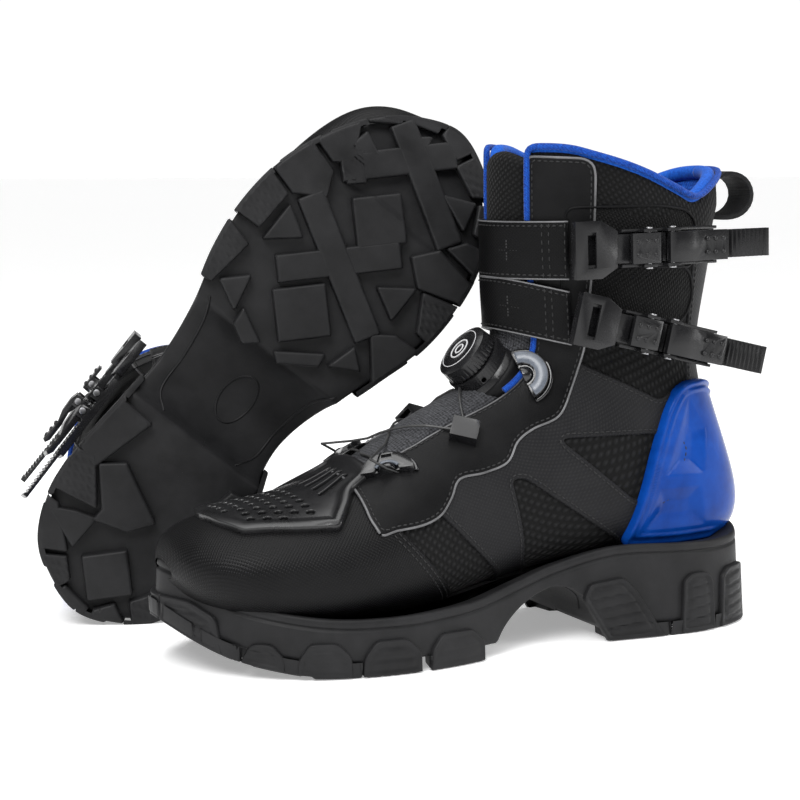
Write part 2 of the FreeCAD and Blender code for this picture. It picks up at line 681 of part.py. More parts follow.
def make_ladder(kind):
    """Flexible toothed strip that the ratchet grips."""
    start, end, low, top = -33.0, 57.0, 3.0, 4.6
    points = [(start, low), (end, low), (end, top + 1.2), (end - 1.5, top + 1.2)]
    x = end - 1.5
    while x > -24.0 + TOOTH_PITCH:
        points += [(x - TOOTH_PITCH * 0.35, top), (x - TOOTH_PITCH + 0.4, top), (x - TOOTH_PITCH, top + 1.1),
                   (x - TOOTH_PITCH - 0.01, top + 1.1)]
        x -= TOOTH_PITCH + 0.01
    points.append((start, top + 1.1))
    return buckle_place(kind, wide_strip(points, 6.8))


def make_coupler(kind):
    """Plastic end piece between the sewn strap and the ladder, with a window."""
    wide = BUCKLES[kind][3] / 2 - 0.4
    outline = [(-52, -wide), (-38, -wide), (-29.5, -8.6), (-29.5, 8.6), (-38, wide), (-52, wide)]
    body = plan_prism(outline, 2.4, 7.2)
    body = body.cut(box(-60, -20, -6.8 - 0.15, 6.8 + 0.15, 2.85, 5.9))
    body = body.fuse(box(-52, -48.6, -wide + 1, wide - 1, 2.4, 6.0))
    body = body.cut(box(-45.5, -41.0, -8.4, 8.4, 5.5, 8))
    return buckle_place(kind, body)


def dots(x0, columns, pitch, top):
    """Small round studs for grip."""
    return [Part.makeSphere(1.25, Vector(x0 + pitch * i, y, top)) for i in range(columns) for y in (-3.2, 3.2)]


def make_release_tab(kind):
    """Sprung pawl plate: its front end is pressed to let the ladder slide."""
    x = TAB_PIN
    plate = wide_strip([(x - 10.5, 9.0), (x + 3.6, 9.0), (x + 4.6, 6.1), (x + 5.4, 6.4), (x + 5.2, 10.8),
                        (x - 10.2, 10.8)])
    body = plate.fuse([barrel(x)] + dots(x - 7.0, 3, 4.8, 10.5))
    return buckle_place(kind, body.cut(pin_bore(x, RUN_FIT)))


def make_lever(kind):
    """Ratchet lever, lifted to click the ladder tighter."""
    x = LEVER_PIN
    profile = [(x, 6.6), (x + 5.0, 6.6), (x + 9.0, 8.2), (x + 17.0, 7.0), (x + 28.0, 6.9), (x + 31.0, 8.4),
               (x + 30.0, 10.4), (x + 18.0, 9.6), (x + 10.5, 11.8), (x + 2.0, 12.2), (x - 2.6, 11.0),
               (x - 2.6, 8.4)]
    body = wide_strip(profile).fuse([barrel(x)] + dots(x + 18.9, 3, 4.4, 9.9))
    return buckle_place(kind, body.cut(pin_bore(x, RUN_FIT)))


def make_buckle_pins():
    found = []
    for kind in BUCKLES:
        for x in (TAB_PIN, LEVER_PIN):
            shaft = rod(Vector(x, -9.6, PIN_HEIGHT), Vector(x, 9.6, PIN_HEIGHT), PIN_RADIUS)
            heads = [rod(Vector(x, s * 9.1, PIN_HEIGHT), Vector(x, s * 9.9, PIN_HEIGHT), 1.9) for s in (-1, 1)]
            found += buckle_place(kind, shaft.fuse(heads)).Solids
    return Part.makeCompound(found)


# ==== whole pair ===========================================================================================
def make_boot():
    nodes = {
        "outsole": make_outsole(), "shank": make_shank(), "insole_board": make_insole_board(),
        "footbed": make_footbed(), "upper": make_upper(), "lining": make_lining(),
        "stiffeners": make_stiffeners(), "tongue": make_tongue(), "toe_guard": make_toe_guard(),
        "heel_guard": make_heel_guard(), "pull_loop": make_pull_loop(), "lace_guides": make_lace_guides(),
        "lace_cable": make_lace_cable(), "dial_housing": make_dial_housing(), "dial_spool": make_dial_spool(),
        "dial_carrier": make_dial_carrier(), "dial_knob": make_dial_knob(), "buckle_pins": make_buckle_pins(),
    }
    for kind in BUCKLES:
        nodes[kind + "_strap"] = make_strap(kind)
        nodes[kind + "_coupler"] = make_coupler(kind)
        nodes[kind + "_ladder"] = make_ladder(kind)
        nodes[kind + "_buckle_base"] = make_buckle_base(kind)
        nodes[kind + "_release_tab"] = make_release_tab(kind)
        nodes[kind + "_lever"] = make_lever(kind)
    return nodes


def left_matrix():
    """Boot frame to row frame for the standing boot: half a turn about the vertical."""
    s = CENTRE_SHIFT
    return FreeCAD.Matrix(-1, 0, 0, s.x, 0, -1, 0, s.y, 0, 0, 1, s.z, 0, 0, 0, 1)


def right_matrix():
    """Mirrored boot frame to row frame for the leaning boot."""
    up = Vector(RIGHT_UP).normalize()
    forward = Vector(RIGHT_FORWARD) - up * up.dot(RIGHT_FORWARD)
    forward.normalize()
    inner = up.cross(forward)
    o = RIGHT_HEEL + CENTRE_SHIFT
    return FreeCAD.Matrix(forward.x, inner.x, up.x, o.x, forward.y, inner.y, up.y, o.y,
                          forward.z, inner.z, up.z, o.z, 0, 0, 0, 1)


def main():
    os.makedirs("parts", exist_ok=True)
    for name in os.listdir("parts"):
        os.remove(os.path.join("parts", name))
    for name, shape in make_boot().items():
        left = moved(shape, left_matrix())
        other = make_pull_loop(PRESSED) if name == "pull_loop" else shape
        right = moved(other.mirror(Vector(0, 0, 0), Vector(0, 1, 0)), right_matrix())
        left.exportStep("parts/left_" + name + ".step")
        right.exportStep("parts/right_" + name + ".step")
        print("%-22s solids %2d  volume %9.0f  valid %s" % (name, len(shape.Solids), shape.Volume, shape.isValid()))


main()
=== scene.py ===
import bpy
import json
import math
import numpy as np
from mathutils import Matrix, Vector
from mathutils.bvhtree import BVHTree

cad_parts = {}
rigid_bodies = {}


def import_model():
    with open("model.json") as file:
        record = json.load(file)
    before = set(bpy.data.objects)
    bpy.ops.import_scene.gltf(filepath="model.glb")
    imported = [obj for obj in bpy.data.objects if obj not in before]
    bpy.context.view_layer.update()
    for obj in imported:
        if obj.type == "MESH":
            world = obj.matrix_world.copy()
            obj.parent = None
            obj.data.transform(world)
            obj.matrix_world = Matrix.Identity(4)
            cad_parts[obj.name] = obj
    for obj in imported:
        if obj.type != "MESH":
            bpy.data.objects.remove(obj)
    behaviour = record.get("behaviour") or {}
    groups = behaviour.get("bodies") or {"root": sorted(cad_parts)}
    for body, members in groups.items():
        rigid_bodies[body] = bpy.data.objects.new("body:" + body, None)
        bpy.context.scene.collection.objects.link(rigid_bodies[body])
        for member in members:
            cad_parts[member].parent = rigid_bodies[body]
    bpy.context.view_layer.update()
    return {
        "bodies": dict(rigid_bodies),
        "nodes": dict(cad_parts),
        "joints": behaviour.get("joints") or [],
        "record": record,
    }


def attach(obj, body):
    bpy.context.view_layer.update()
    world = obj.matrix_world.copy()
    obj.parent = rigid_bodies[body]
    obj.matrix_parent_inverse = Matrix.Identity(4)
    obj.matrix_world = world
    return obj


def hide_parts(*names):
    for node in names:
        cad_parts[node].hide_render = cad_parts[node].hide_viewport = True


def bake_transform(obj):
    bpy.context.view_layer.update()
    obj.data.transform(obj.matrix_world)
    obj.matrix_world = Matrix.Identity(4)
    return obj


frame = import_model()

MM = 0.001
TINY = 1e-12
FAR = 1e9

# ---- the two boots' places, as in the CAD: boot frame in mm, x to the toe, y to the outer side ----
ROW_SHIFT = np.array([166.36, -130.53, 0.0])
UP = np.array([0.267, 0.963, -0.0277])
FORWARD = np.array([0.614, -0.1476, 0.7755])
UP /= np.linalg.norm(UP)
FORWARD -= UP * (UP @ FORWARD)
FORWARD /= np.linalg.norm(FORWARD)
RIGHT_AXES = np.column_stack([FORWARD, np.cross(UP, FORWARD), UP])
RIGHT_HEEL = np.array([-322, 97.6, 9.58]) + ROW_SHIFT


def to_row(p, side):
    p = np.asarray(p, float)
    if side == "left":
        return (p * [-1, -1, 1] + ROW_SHIFT) * MM
    return ((p * [1, -1, 1]) @ RIGHT_AXES.T + RIGHT_HEEL) * MM


# ---- shape data, as in the CAD ----
OUTLINE = [(0, 0), (6, 20), (18, 36), (40, 46), (65, 48), (95, 46), (125, 45), (155, 49), (185, 57), (212, 60),
           (240, 57), (266, 47), (287, 33), (302, 16), (311, -5), (304, -24), (288, -40), (264, -52), (238, -57),
           (210, -56), (182, -48), (155, -40), (125, -36), (95, -38), (65, -43), (40, -43), (18, -34), (6, -19)]
RUBBER_TOP = [(-12, 49), (20, 45), (52, 45), (92, 46), (125, 40), (147, 34), (168, 29), (190, 27),
              (215, 26), (247, 27), (272, 31), (288, 36), (297, 45), (320, 54)]
TREAD = [(-12, 5), (-4, 2), (4, 0.4), (12, 0), (232, 0), (252, 1.0), (265, 2.8), (285, 8), (300, 16), (318, 30)]
ARCH = [(101, -5), (105, 16), (115, 26), (127, 29), (142, 24), (156, 13), (167, -5)]
FEATHER = [(-20, 37), (34, 37), (72, 36), (108, 35), (138, 31), (164, 25), (188, 21), (212, 20),
           (236, 20), (258, 22), (278, 25), (292, 29), (320, 42)]
TOP_LINE = [(-30, 226), (5, 227), (18, 227), (32, 221), (48, 214), (61, 218), (83, 227), (105, 234),
            (124, 238), (170, 236)]
SECTIONS = [
    (309, 51, 306, 42, 12, 10, 2.0, 2.0), (305, 59, 301, 35, 25, 23, 2.0, 2.2), (297, 65, 292, 29, 37, 34, 2.0, 2.4),
    (284, 69, 278, 25, 46, 43, 2.0, 2.6), (266, 72, 258, 22, 52, 48, 2.1, 2.8), (246, 75, 236, 20, 55, 51, 2.1, 2.8),
    (226, 82, 212, 20, 54, 51, 2.0, 2.8), (207, 93, 188, 21, 50, 47, 2.0, 2.8), (190, 104, 164, 25, 45, 42, 2.0, 2.8),
    (173, 113, 138, 31, 41, 37, 2.1, 2.8), (157, 121, 108, 35, 39, 35, 2.1, 2.8), (146, 128, 72, 36, 38, 35, 2.2, 2.7),
    (140, 136, 34, 37, 38, 36, 2.2, 2.6), (137, 147, 8, 50, 37, 36, 2.2, 2.4), (137, 160, 10, 78, 37, 36, 2.2, 2.2),
    (138, 174, 20, 105, 38, 37, 2.1, 2.1), (138, 188, 27, 130, 41, 40, 2.0, 2.0), (138, 203, 25, 160, 44, 43, 2.0, 2.0),
    (138, 220, 20, 190, 46, 45, 2.0, 2.0), (138, 240, 17, 220, 47, 46, 2.0, 2.0), (138, 262, 14, 250, 48, 47, 2.0, 2.0)]
TOE_START, TOE_REACH = 250.0, 59.0         # from here on the toe's cap also grows forward
WALL_LEAN = 4.0 / 72                       # the sole's wall leans in by this much of its height
BUCKLES = {"upper": (70.0, 191.0, 1.5, 28.0), "lower": (68.0, 146.5, -13.0, 26.0)}     # x, z, slope, strap width


# ---- curves and fields ----
def spline(points, per=8, closed=False):
    """Catmull-Rom curve through points."""
    p = np.asarray(points, float)
    n = len(p)
    out = []
    for i in range(n if closed else n - 1):
        if closed:
            a, b, c, d = (p[(i + k - 1) % n] for k in range(4))
        else:
            b, c = p[i], p[i + 1]
            a = p[i - 1] if i else 2 * b - c
            d = p[i + 2] if i + 2 < n else 2 * c - b
        t = (np.arange(per) / per)[:, None]
        out.append(0.5 * (2 * b + (c - a) * t + (2 * a - 5 * b + 4 * c - d) * t ** 2
                          + (3 * b - a - 3 * c + d) * t ** 3))
    if not closed:
        out.append(p[-1:])
    return np.vstack(out)


def level(profile, x):
    """Height of a side-view profile at x."""
    q = spline(profile)
    return np.interp(x, q[:, 0], q[:, 1])


def arc_length(points):
    """Distance along a run of points from its start."""
    return np.concatenate([[0], np.cumsum(np.linalg.norm(np.diff(points, axis=0), axis=1))])


def unit(v):
    """Vectors made one long."""
    return v / (np.linalg.norm(v, axis=-1, keepdims=True) + TINY)


def ease(value, over):
    """Rises from 0 to 1 while value goes from 0 to over."""
    return np.clip(value / over, 0, 1)


def inside(px, py, poly):
    """Signed distance to a closed polygon, positive inside."""
    poly = np.asarray(poly, float)
    best = np.full(px.shape, FAR)
    odd = np.zeros(px.shape, bool)
    for (ax, ay), (bx, by) in zip(poly, np.roll(poly, -1, axis=0)):
        dx, dy = bx - ax, by - ay
        t = np.clip(((px - ax) * dx + (py - ay) * dy) / (dx * dx + dy * dy + TINY), 0, 1)
        best = np.minimum(best, (px - ax - t * dx) ** 2 + (py - ay - t * dy) ** 2)
        cross = (ay > py) != (by > py)
        odd ^= cross & (px < (bx - ax) * (py - ay) / (by - ay + TINY) + ax)
    return np.where(odd, 1, -1) * np.sqrt(best)


def rounded(poly, r=3.0):
    """Polygon with rounded corners."""
    p = np.asarray(poly, float)
    out = []
    for a, b, c in zip(np.roll(p, 1, axis=0), p, np.roll(p, -1, axis=0)):
        la, lc = np.linalg.norm(a - b), np.linalg.norm(c - b)
        q = min(r, la * 0.45, lc * 0.45)
        s, e = b + (a - b) / la * q, b + (c - b) / lc * q
        for t in np.linspace(0, 1, 6):
            out.append((1 - t) ** 2 * s + 2 * t * (1 - t) * b + t * t * e)
    return np.array(out)


# ---- the upper's surface ----
def natural(values, knots, at):
    """Natural cubic spline through values at knots, along the first axis."""
    n = len(knots)
    h = np.diff(knots)
    a = np.zeros((n, n))
    a[0, 0] = a[-1, -1] = 1
    rhs = np.zeros((n,) + values.shape[1:])
    slope = np.diff(values, axis=0) / h.reshape(-1, *[1] * (values.ndim - 1))
    for i in range(1, n - 1):
        a[i, i - 1:i + 2] = h[i - 1], 2 * (h[i - 1] + h[i]), h[i]
        rhs[i] = 6 * (slope[i] - slope[i - 1])
    m = np.linalg.solve(a, rhs.reshape(n, -1)).reshape(rhs.shape)
    i = np.clip(np.searchsorted(knots, at) - 1, 0, n - 2)
    shape = (-1,) + (1,) * (values.ndim - 1)
    t0, t1, hh = (at - knots[i]).reshape(shape), (knots[i + 1] - at).reshape(shape), h[i].reshape(shape)
    return (m[i] * t1 ** 3 + m[i + 1] * t0 ** 3) / (6 * hh) + (values[i] / hh - m[i] * hh / 6) * t1 \
        + (values[i + 1] / hh - m[i + 1] * hh / 6) * t0


def section_points(section, grow, us):
    """Points round one section of the upper at shares us of its length."""
    fx, fz, bx, bz, outer, inner, top, bottom = section
    toe = max(0.0, min(1.0, (fx - TOE_START) / TOE_REACH)) ** 2
    d = np.array([fx - bx, fz - bz])
    size = np.linalg.norm(d)
    d = d / size
    ang = np.linspace(0, 2 * np.pi, 1601)
    c, s = np.cos(ang), np.sin(ang)
    power = 2.0 / np.where(c > 0, top, bottom)
    along = np.sign(c) * np.abs(c) ** power * max(size / 2 + grow, 1.5)
    across = np.sign(s) * np.abs(s) ** power * (np.where(s > 0, outer, inner) + grow)
    p = np.column_stack([(fx + bx) / 2 + grow * toe + d[0] * along, across, (fz + bz) / 2 + d[1] * along])
    arc = arc_length(p)
    return np.column_stack([np.interp(np.mod(us, 1.0) * arc[-1], arc, p[:, k]) for k in range(3)])


KNOTS = np.concatenate([[0], np.cumsum([0.5 * (math.hypot(a[0] - b[0], a[1] - b[1])
                                               + math.hypot(a[2] - b[2], a[3] - b[3])) + 1.0
                                        for a, b in zip(SECTIONS, SECTIONS[1:])])])


class Sheet:
    """A grid of points with outward normals, as loose triangles that can be cut along levels of a field."""

    def __init__(self, p, flip=False):
        nv, nu = p.shape[:2]
        n = unit(np.cross(np.gradient(p, axis=1), np.gradient(p, axis=0))) * (-1 if flip else 1)
        i = np.arange(nv * nu).reshape(nv, nu)
        a, b, c, d = i[:-1, :-1].ravel(), i[:-1, 1:].ravel(), i[1:, 1:].ravel(), i[1:, :-1].ravel()
        self.tri = np.vstack([np.column_stack([a, b, c]), np.column_stack([a, c, d])])
        if flip:
            self.tri = self.tri[:, ::-1]
        du = np.concatenate([np.zeros((nv, 1)), np.cumsum(np.linalg.norm(np.diff(p, axis=1), axis=2), 1)], 1)
        du -= du[:, nu // 2:nu // 2 + 1]
        uv = np.stack([du, np.repeat(arc_length(p[:, nu // 2])[:, None], nu, 1)], 2)
        self.at = np.concatenate([p, n, uv], 2).reshape(-1, 8)

    @classmethod
    def of(cls, tri, at):
        s = cls.__new__(cls)
        s.tri, s.at = tri, at
        return s

    def copy(self):
        return Sheet.of(self.tri.copy(), self.at.copy())

    def turned_over(self):
        """The same sheet facing the other way."""
        s = Sheet.of(self.tri[:, ::-1].copy(), self.at.copy())
        s.at[:, 3:6] *= -1
        return s

    def cut(self, field, values, keep=0.0):
        """Splits triangles along each value of field(at), then keeps what is above keep."""
        for value in values:
            f = field(self.at) - value
            f[np.abs(f) < 1e-6] = 1e-6
            neg = f[self.tri] < 0
            count = neg.sum(1)
            mixed = (count == 1) | (count == 2)
            if not mixed.any():
                continue
            t = self.tri[mixed]
            lone = np.where(count[mixed][:, None] == 1, neg[mixed], ~neg[mixed]).argmax(1)
            r = np.arange(len(t))
            a, b, c = t[r, lone], t[r, (lone + 1) % 3], t[r, (lone + 2) % 3]
            pairs = np.vstack([np.column_stack([a, b]), np.column_stack([a, c])])
            key, where = np.unique(np.sort(pairs, 1), axis=0, return_inverse=True)
            where = where.ravel()
            w = (f[key[:, 0]] / (f[key[:, 0]] - f[key[:, 1]]))[:, None]
            new = self.at[key[:, 0]] * (1 - w) + self.at[key[:, 1]] * w
            ab, ac = where[:len(t)] + len(self.at), where[len(t):] + len(self.at)
            self.at = np.vstack([self.at, new])
            self.tri = np.vstack([self.tri[~mixed], np.column_stack([a, ab, ac]),
                                  np.column_stack([ab, b, c]), np.column_stack([ab, c, ac])])
        mid = field(self.at[self.tri].mean(1))
        self.tri = self.tri[mid > keep]
        used, index = np.unique(self.tri, return_inverse=True)
        self.tri, self.at = index.reshape(-1, 3), self.at[used]
        return self

    def lift(self, height):
        """Moves points along their normals."""
        self.at[:, :3] += unit(self.at[:, 3:6]) * np.reshape(height, (-1, 1))
        return self

    def contour(self, field, value):
        """Lines where field is value, each a run of rows (point and normal)."""
        f = field(self.at) - value
        f[np.abs(f) < 1e-6] = 1e-6
        ends = {}
        points = {}
        for t in self.tri[(f[self.tri] > 0).any(1) & (f[self.tri] < 0).any(1)]:
            hit = []
            for a, b in ((t[0], t[1]), (t[1], t[2]), (t[2], t[0])):
                if (f[a] > 0) != (f[b] > 0):
                    k = (min(a, b), max(a, b))
                    w = f[k[0]] / (f[k[0]] - f[k[1]])
                    points[k] = self.at[k[0]] * (1 - w) + self.at[k[1]] * w
                    hit.append(k)
            if len(hit) == 2:
                ends.setdefault(hit[0], []).append(hit[1])
                ends.setdefault(hit[1], []).append(hit[0])
        runs, seen = [], set()
        for start in sorted(ends, key=lambda k: (len(ends[k]), k)):
            if start in seen:
                continue
            run, k = [start], start
            seen.add(start)
            while True:
                nxt = [q for q in ends[k] if q not in seen]
                if not nxt:
                    break
                k = nxt[0]
                seen.add(k)
                run.append(k)
            if len(ends[start]) == 2 and start in ends[k] and len(run) > 2:
                run.append(start)
            if len(run) > 3:
                runs.append(np.array([points[k] for k in run]))
        return runs


def upper_sheet(u0=-0.5, u1=0.5, v0=0.0, v1=20.0, step=1.5, grow=0.0):
    """Part of the upper's surface; u runs round from the front (positive outside), v from toe to collar."""
    length = np.interp([v0, v1], np.arange(len(KNOTS)), KNOTS)
    nv, nu = max(4, int((length[1] - length[0]) / step)), max(4, int(250 * (u1 - u0) / step))
    us = np.linspace(u0, u1, nu)
    rows = np.array([section_points(s, grow, us) for s in SECTIONS])
    return Sheet(natural(rows, KNOTS, np.linspace(length[0], length[1], nv)))


# ---- making pieces ----
def make(name, verts, faces, material, body="boot", uv=None, slot=None, replaces=None):
    """The same piece for both boots; the right one is its mirror image."""
    found = []
    for side in ("left", "right"):
        mesh = bpy.data.meshes.new(side + "_" + name)
        loops = [f[::-1] for f in faces] if side == "right" else faces
        mesh.from_pydata(to_row(verts, side).tolist(), [], [[int(i) for i in f] for f in loops])
        mesh.update()
        mesh.shade_smooth()
        if uv is not None:
            layer = mesh.uv_layers.new(name="UVMap")
            corner = np.empty(len(mesh.loops), np.int32)
            mesh.loops.foreach_get("vertex_index", corner)
            layer.data.foreach_set("uv", np.asarray(uv, float)[corner].ravel())
        obj = bpy.data.objects.new(side + "_" + name, mesh)
        bpy.context.scene.collection.objects.link(obj)
        mesh.materials.append(material)
        if body:
            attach(obj, side + "_" + body)
        if replaces:
            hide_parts(*[side + "_" + r for r in replaces])
        found.append(obj)
    return found


def make_sheet(name, sheet, material, **how):
    return make(name, sheet.at[:, :3], sheet.tri, material, uv=sheet.at[:, 6:8] * MM, **how)


def join(parts):
    """Several (verts, faces) as one."""
    verts, faces, n = [], [], 0
    for v, f in parts:
        verts.append(np.asarray(v, float))
        faces += [[i + n for i in face] for face in f]
        n += len(v)
    return np.vstack(verts), faces


def join_sheets(sheets):
    starts = np.cumsum([0] + [len(q.at) for q in sheets])
    return Sheet.of(np.vstack([q.tri + n for q, n in zip(sheets, starts)]), np.vstack([q.at for q in sheets]))


def quads(rows, across, rows_ring=False, across_ring=True, backward=False):
    """Faces of a grid of points, where rows, or the points across, may close to a ring."""
    faces = []
    for i in range(rows if rows_ring else rows - 1):
        a, b = i * across, (i + 1) % rows * across
        for k in range(across if across_ring else across - 1):
            k2 = (k + 1) % across
            faces.append([a + k, b + k, b + k2, a + k2] if backward else [a + k, a + k2, b + k2, b + k])
    return faces


def caps(rows, across):
    """Caps on the first and last ring of such a grid."""
    return [list(range(across))[::-1], [(rows - 1) * across + k for k in range(across)]]


def panel(sheet, field, thick, roll=1.2, base=0.0, tuck=0.5, extra=None):
    """A layer lying on a sheet where field is positive, with a rounded edge."""
    s = sheet.copy().cut(field, [0.0], keep=0.0)
    s.cut(field, [roll * k for k in (0.12, 0.35, 0.65, 1.0)], keep=-FAR)
    d = np.clip(field(s.at) / roll, 0, 1)
    h = base + thick * np.sqrt(np.clip(1 - (1 - d) ** 2, 0, 1)) - tuck * (d < 0.02)
    if extra is not None:
        h = h + extra(s.at, field(s.at))
    return s.lift(h)


ANY_WAY = [0.13, 0.21, 0.97]               # no tube starts in this direction


def tube(path, radius, sides=8, closed=False):
    """Round tube along points."""
    p = np.asarray(path, float)
    t = np.gradient(p, axis=0)
    if closed:
        t = np.roll(p, -1, axis=0) - np.roll(p, 1, axis=0)
    t = unit(t)
    a = np.cross(t[0], ANY_WAY)
    verts = []
    for i in range(len(p)):
        a = a - t[i] * (a @ t[i])
        a /= np.linalg.norm(a)
        b = np.cross(t[i], a)
        for k in range(sides):
            g = 2 * np.pi * k / sides
            verts.append(p[i] + radius * (math.cos(g) * a + math.sin(g) * b))
    faces = quads(len(p), sides, rows_ring=closed)
    return np.array(verts), faces if closed else faces + caps(len(p), sides)


def even(run, pitch):
    """A run resampled at an even pitch, and its length."""
    arc = arc_length(run[:, :3])
    n = max(2, int(arc[-1] / pitch))
    at = np.linspace(0, arc[-1], n)
    return np.column_stack([np.interp(at, arc, run[:, k]) for k in range(run.shape[1])]), arc[-1]


def stitches(run, pitch=3.0, length=2.1, width=0.36, rise=0.12):
    """A row of sewn stitches along a run of points with normals."""
    pts, total = even(run, pitch)
    if total < 2 * pitch:
        return []
    out = []
    for p, d, n in zip(pts[:, :3], unit(np.gradient(pts[:, :3], axis=0)), unit(pts[:, 3:6])):
        b = np.cross(n, d)
        ring = []
        for along, size in ((-1, 0.25), (-0.7, 0.8), (0, 1.0), (0.7, 0.8), (1, 0.25)):
            for k in range(6):
                g = 2 * math.pi * k / 6
                high = rise + math.sin(g) * width * size * (1.2 - 0.5 * abs(along))
                ring.append(p + d * along * length / 2 + n * high + b * math.cos(g) * width * size)
        out.append((np.array(ring), quads(5, 6, backward=True) + [cap[::-1] for cap in caps(5, 6)]))
    return out


# ---- materials ----
class Nodes:
    """Short way to write a node material."""

    def __init__(self, name):
        self.mat = bpy.data.materials.new(name)
        self.mat.use_nodes = True
        self.tree = self.mat.node_tree
        self.shader = self.tree.nodes["Principled BSDF"]
        coord = self.tree.nodes.new("ShaderNodeTexCoord")
        self.place = {"object": coord.outputs["Object"], "uv": coord.outputs["UV"]}

    def node(self, kind, sets=None, **inputs):
        n = self.tree.nodes.new("ShaderNode" + kind)
        for k, v in (sets or {}).items():
            setattr(n, k, v)
        for k, v in inputs.items():
            socket = n.inputs[int(k[1:]) if k[0] == "i" and k[1:].isdigit() else k.replace("_", " ")]
            if isinstance(v, bpy.types.NodeSocket):
                self.tree.links.new(v, socket)
            else:
                socket.default_value = v
        return n

    def mapped(self, scale, where="object", turn=0.0):
        m = self.node("Mapping", Vector=self.place[where])
        m.inputs["Scale"].default_value = scale if hasattr(scale, "__len__") else (scale,) * 3
        m.inputs["Rotation"].default_value = (0, 0, turn)
        return m.outputs[0]

    def noise(self, scale, detail=3.0, rough=0.55, where="object"):
        return self.node("TexNoise", Vector=self.mapped(scale, where), Scale=1.0, Detail=detail,
                         Roughness=rough).outputs["Fac"]

    def creases(self, scale):
        n = self.node("TexVoronoi", {"feature": "DISTANCE_TO_EDGE"}, Vector=self.mapped(scale), Scale=1.0)
        return n.outputs["Distance"]

    def waves(self, scale, where="uv", direction="X", turn=0.0):
        n = self.node("TexWave", {"wave_type": "BANDS", "bands_direction": direction, "wave_profile": "SIN"},
                      Vector=self.mapped(scale, where, turn), Scale=1.0, Distortion=0.0)
        return n.outputs["Fac"]

    def math(self, op, a, b=0.0):
        return self.node("Math", {"operation": op}, i0=a, i1=b).outputs[0]

    def mixed(self, a, share_a, b, share_b):
        return self.math("ADD", self.math("MULTIPLY", a, share_a), self.math("MULTIPLY", b, share_b))

    def ramp(self, value, low, high, a=0.0, b=1.0):
        return self.node("MapRange", Value=value, From_Min=a, From_Max=b, To_Min=low, To_Max=high).outputs[0]

    def tint(self, value, dark, light):
        n = self.node("Mix", {"data_type": "RGBA"}, Factor=value)
        n.inputs[6].default_value = (*dark, 1)
        n.inputs[7].default_value = (*light, 1)
        return n.outputs[2]

    def link(self, socket, value):
        if isinstance(value, bpy.types.NodeSocket):
            self.tree.links.new(value, self.shader.inputs[socket])
        elif hasattr(value, "__len__"):
            self.shader.inputs[socket].default_value = (*value, 1)
        else:
            self.shader.inputs[socket].default_value = value

    def bump(self, *layers):
        out = None
        for height, strength, distance in layers:
            b = self.node("Bump", Height=height, Strength=strength, Distance=distance * MM)
            if out is not None:
                self.tree.links.new(out, b.inputs["Normal"])
            out = b.outputs[0]
        self.tree.links.new(out, self.shader.inputs["Normal"])


WAVES = 3.2 * MM                           # a wave texture repeats this often in one unit, times a millimetre


def leather(name, dark, light, grain=900, rough=(0.42, 0.6), depth=0.16):
    """Smooth leather with a creased grain."""
    m = Nodes(name)
    cell = m.creases(grain)
    fine = m.noise(2600, 4.0)
    broad = m.noise(34, 4.0, 0.6)
    m.link("Base Color", m.tint(m.ramp(broad, 0.0, 1.0, 0.3, 0.7), dark, light))
    m.link("Roughness", m.ramp(m.mixed(fine, 0.35, broad, 0.65), rough[0], rough[1], 0.3, 0.7))
    m.link("Specular IOR Level", 0.1)
    m.bump((m.math("MINIMUM", cell, 0.22), 0.55, depth * 2.2), (fine, 0.35, depth * 0.5), (broad, 0.25, 1.2))
    return m.mat


def dotted(name, dark, light, pitch=1.1, rough=(0.4, 0.56), depth=0.22):
    """Synthetic leather with an even embossed grain in diagonal rows."""
    m = Nodes(name)
    k = 1 / (pitch * WAVES)
    rows = m.waves((k, k, 1), "uv", "X", math.radians(45))
    columns = m.waves((k, k, 1), "uv", "X", math.radians(-45))
    weave = m.math("MULTIPLY", rows, columns)
    broad = m.noise(26, 4.0, 0.6)
    fine = m.noise(2200, 3.0)
    m.link("Base Color", m.tint(m.ramp(m.mixed(broad, 0.7, weave, 0.3), 0, 1, 0.25, 0.85), dark, light))
    m.link("Roughness", m.ramp(m.mixed(fine, 0.4, broad, 0.6), rough[0], rough[1], 0.3, 0.7))
    m.link("Specular IOR Level", 0.12)
    m.bump((weave, 0.8, depth), (fine, 0.3, 0.06), (broad, 0.3, 1.0))
    return m.mat


def mesh_fabric(name, dark, light, pitch=3.2, depth=0.8, rough=0.8, sheen=0.04):
    """Spacer mesh: rows of raised knobs of yarn between dark pits."""
    m = Nodes(name)
    k = 1 / (pitch * WAVES)
    a = m.waves((k, k, 1), "uv", "X", 0.95)
    b = m.waves((k, k, 1), "uv", "X", -0.72)
    knob = m.math("MULTIPLY", a, b)
    fine = m.noise(2400, 3.0)
    broad = m.noise(60, 3.0)
    yarn = m.math("MULTIPLY", m.ramp(knob, 0.0, 1.0, 0.12, 0.8), m.ramp(fine, 0.25, 1.0, 0.3, 0.7))
    m.link("Base Color", m.tint(m.mixed(yarn, 0.8, broad, 0.12), dark, light))
    m.link("Roughness", m.ramp(fine, rough - 0.1, rough + 0.08))
    m.link("Sheen Weight", sheen)
    m.link("Sheen Roughness", 0.5)
    m.link("Specular IOR Level", 0.14)
    m.bump((knob, 1.0, depth), (fine, 0.5, 0.2))
    return m.mat


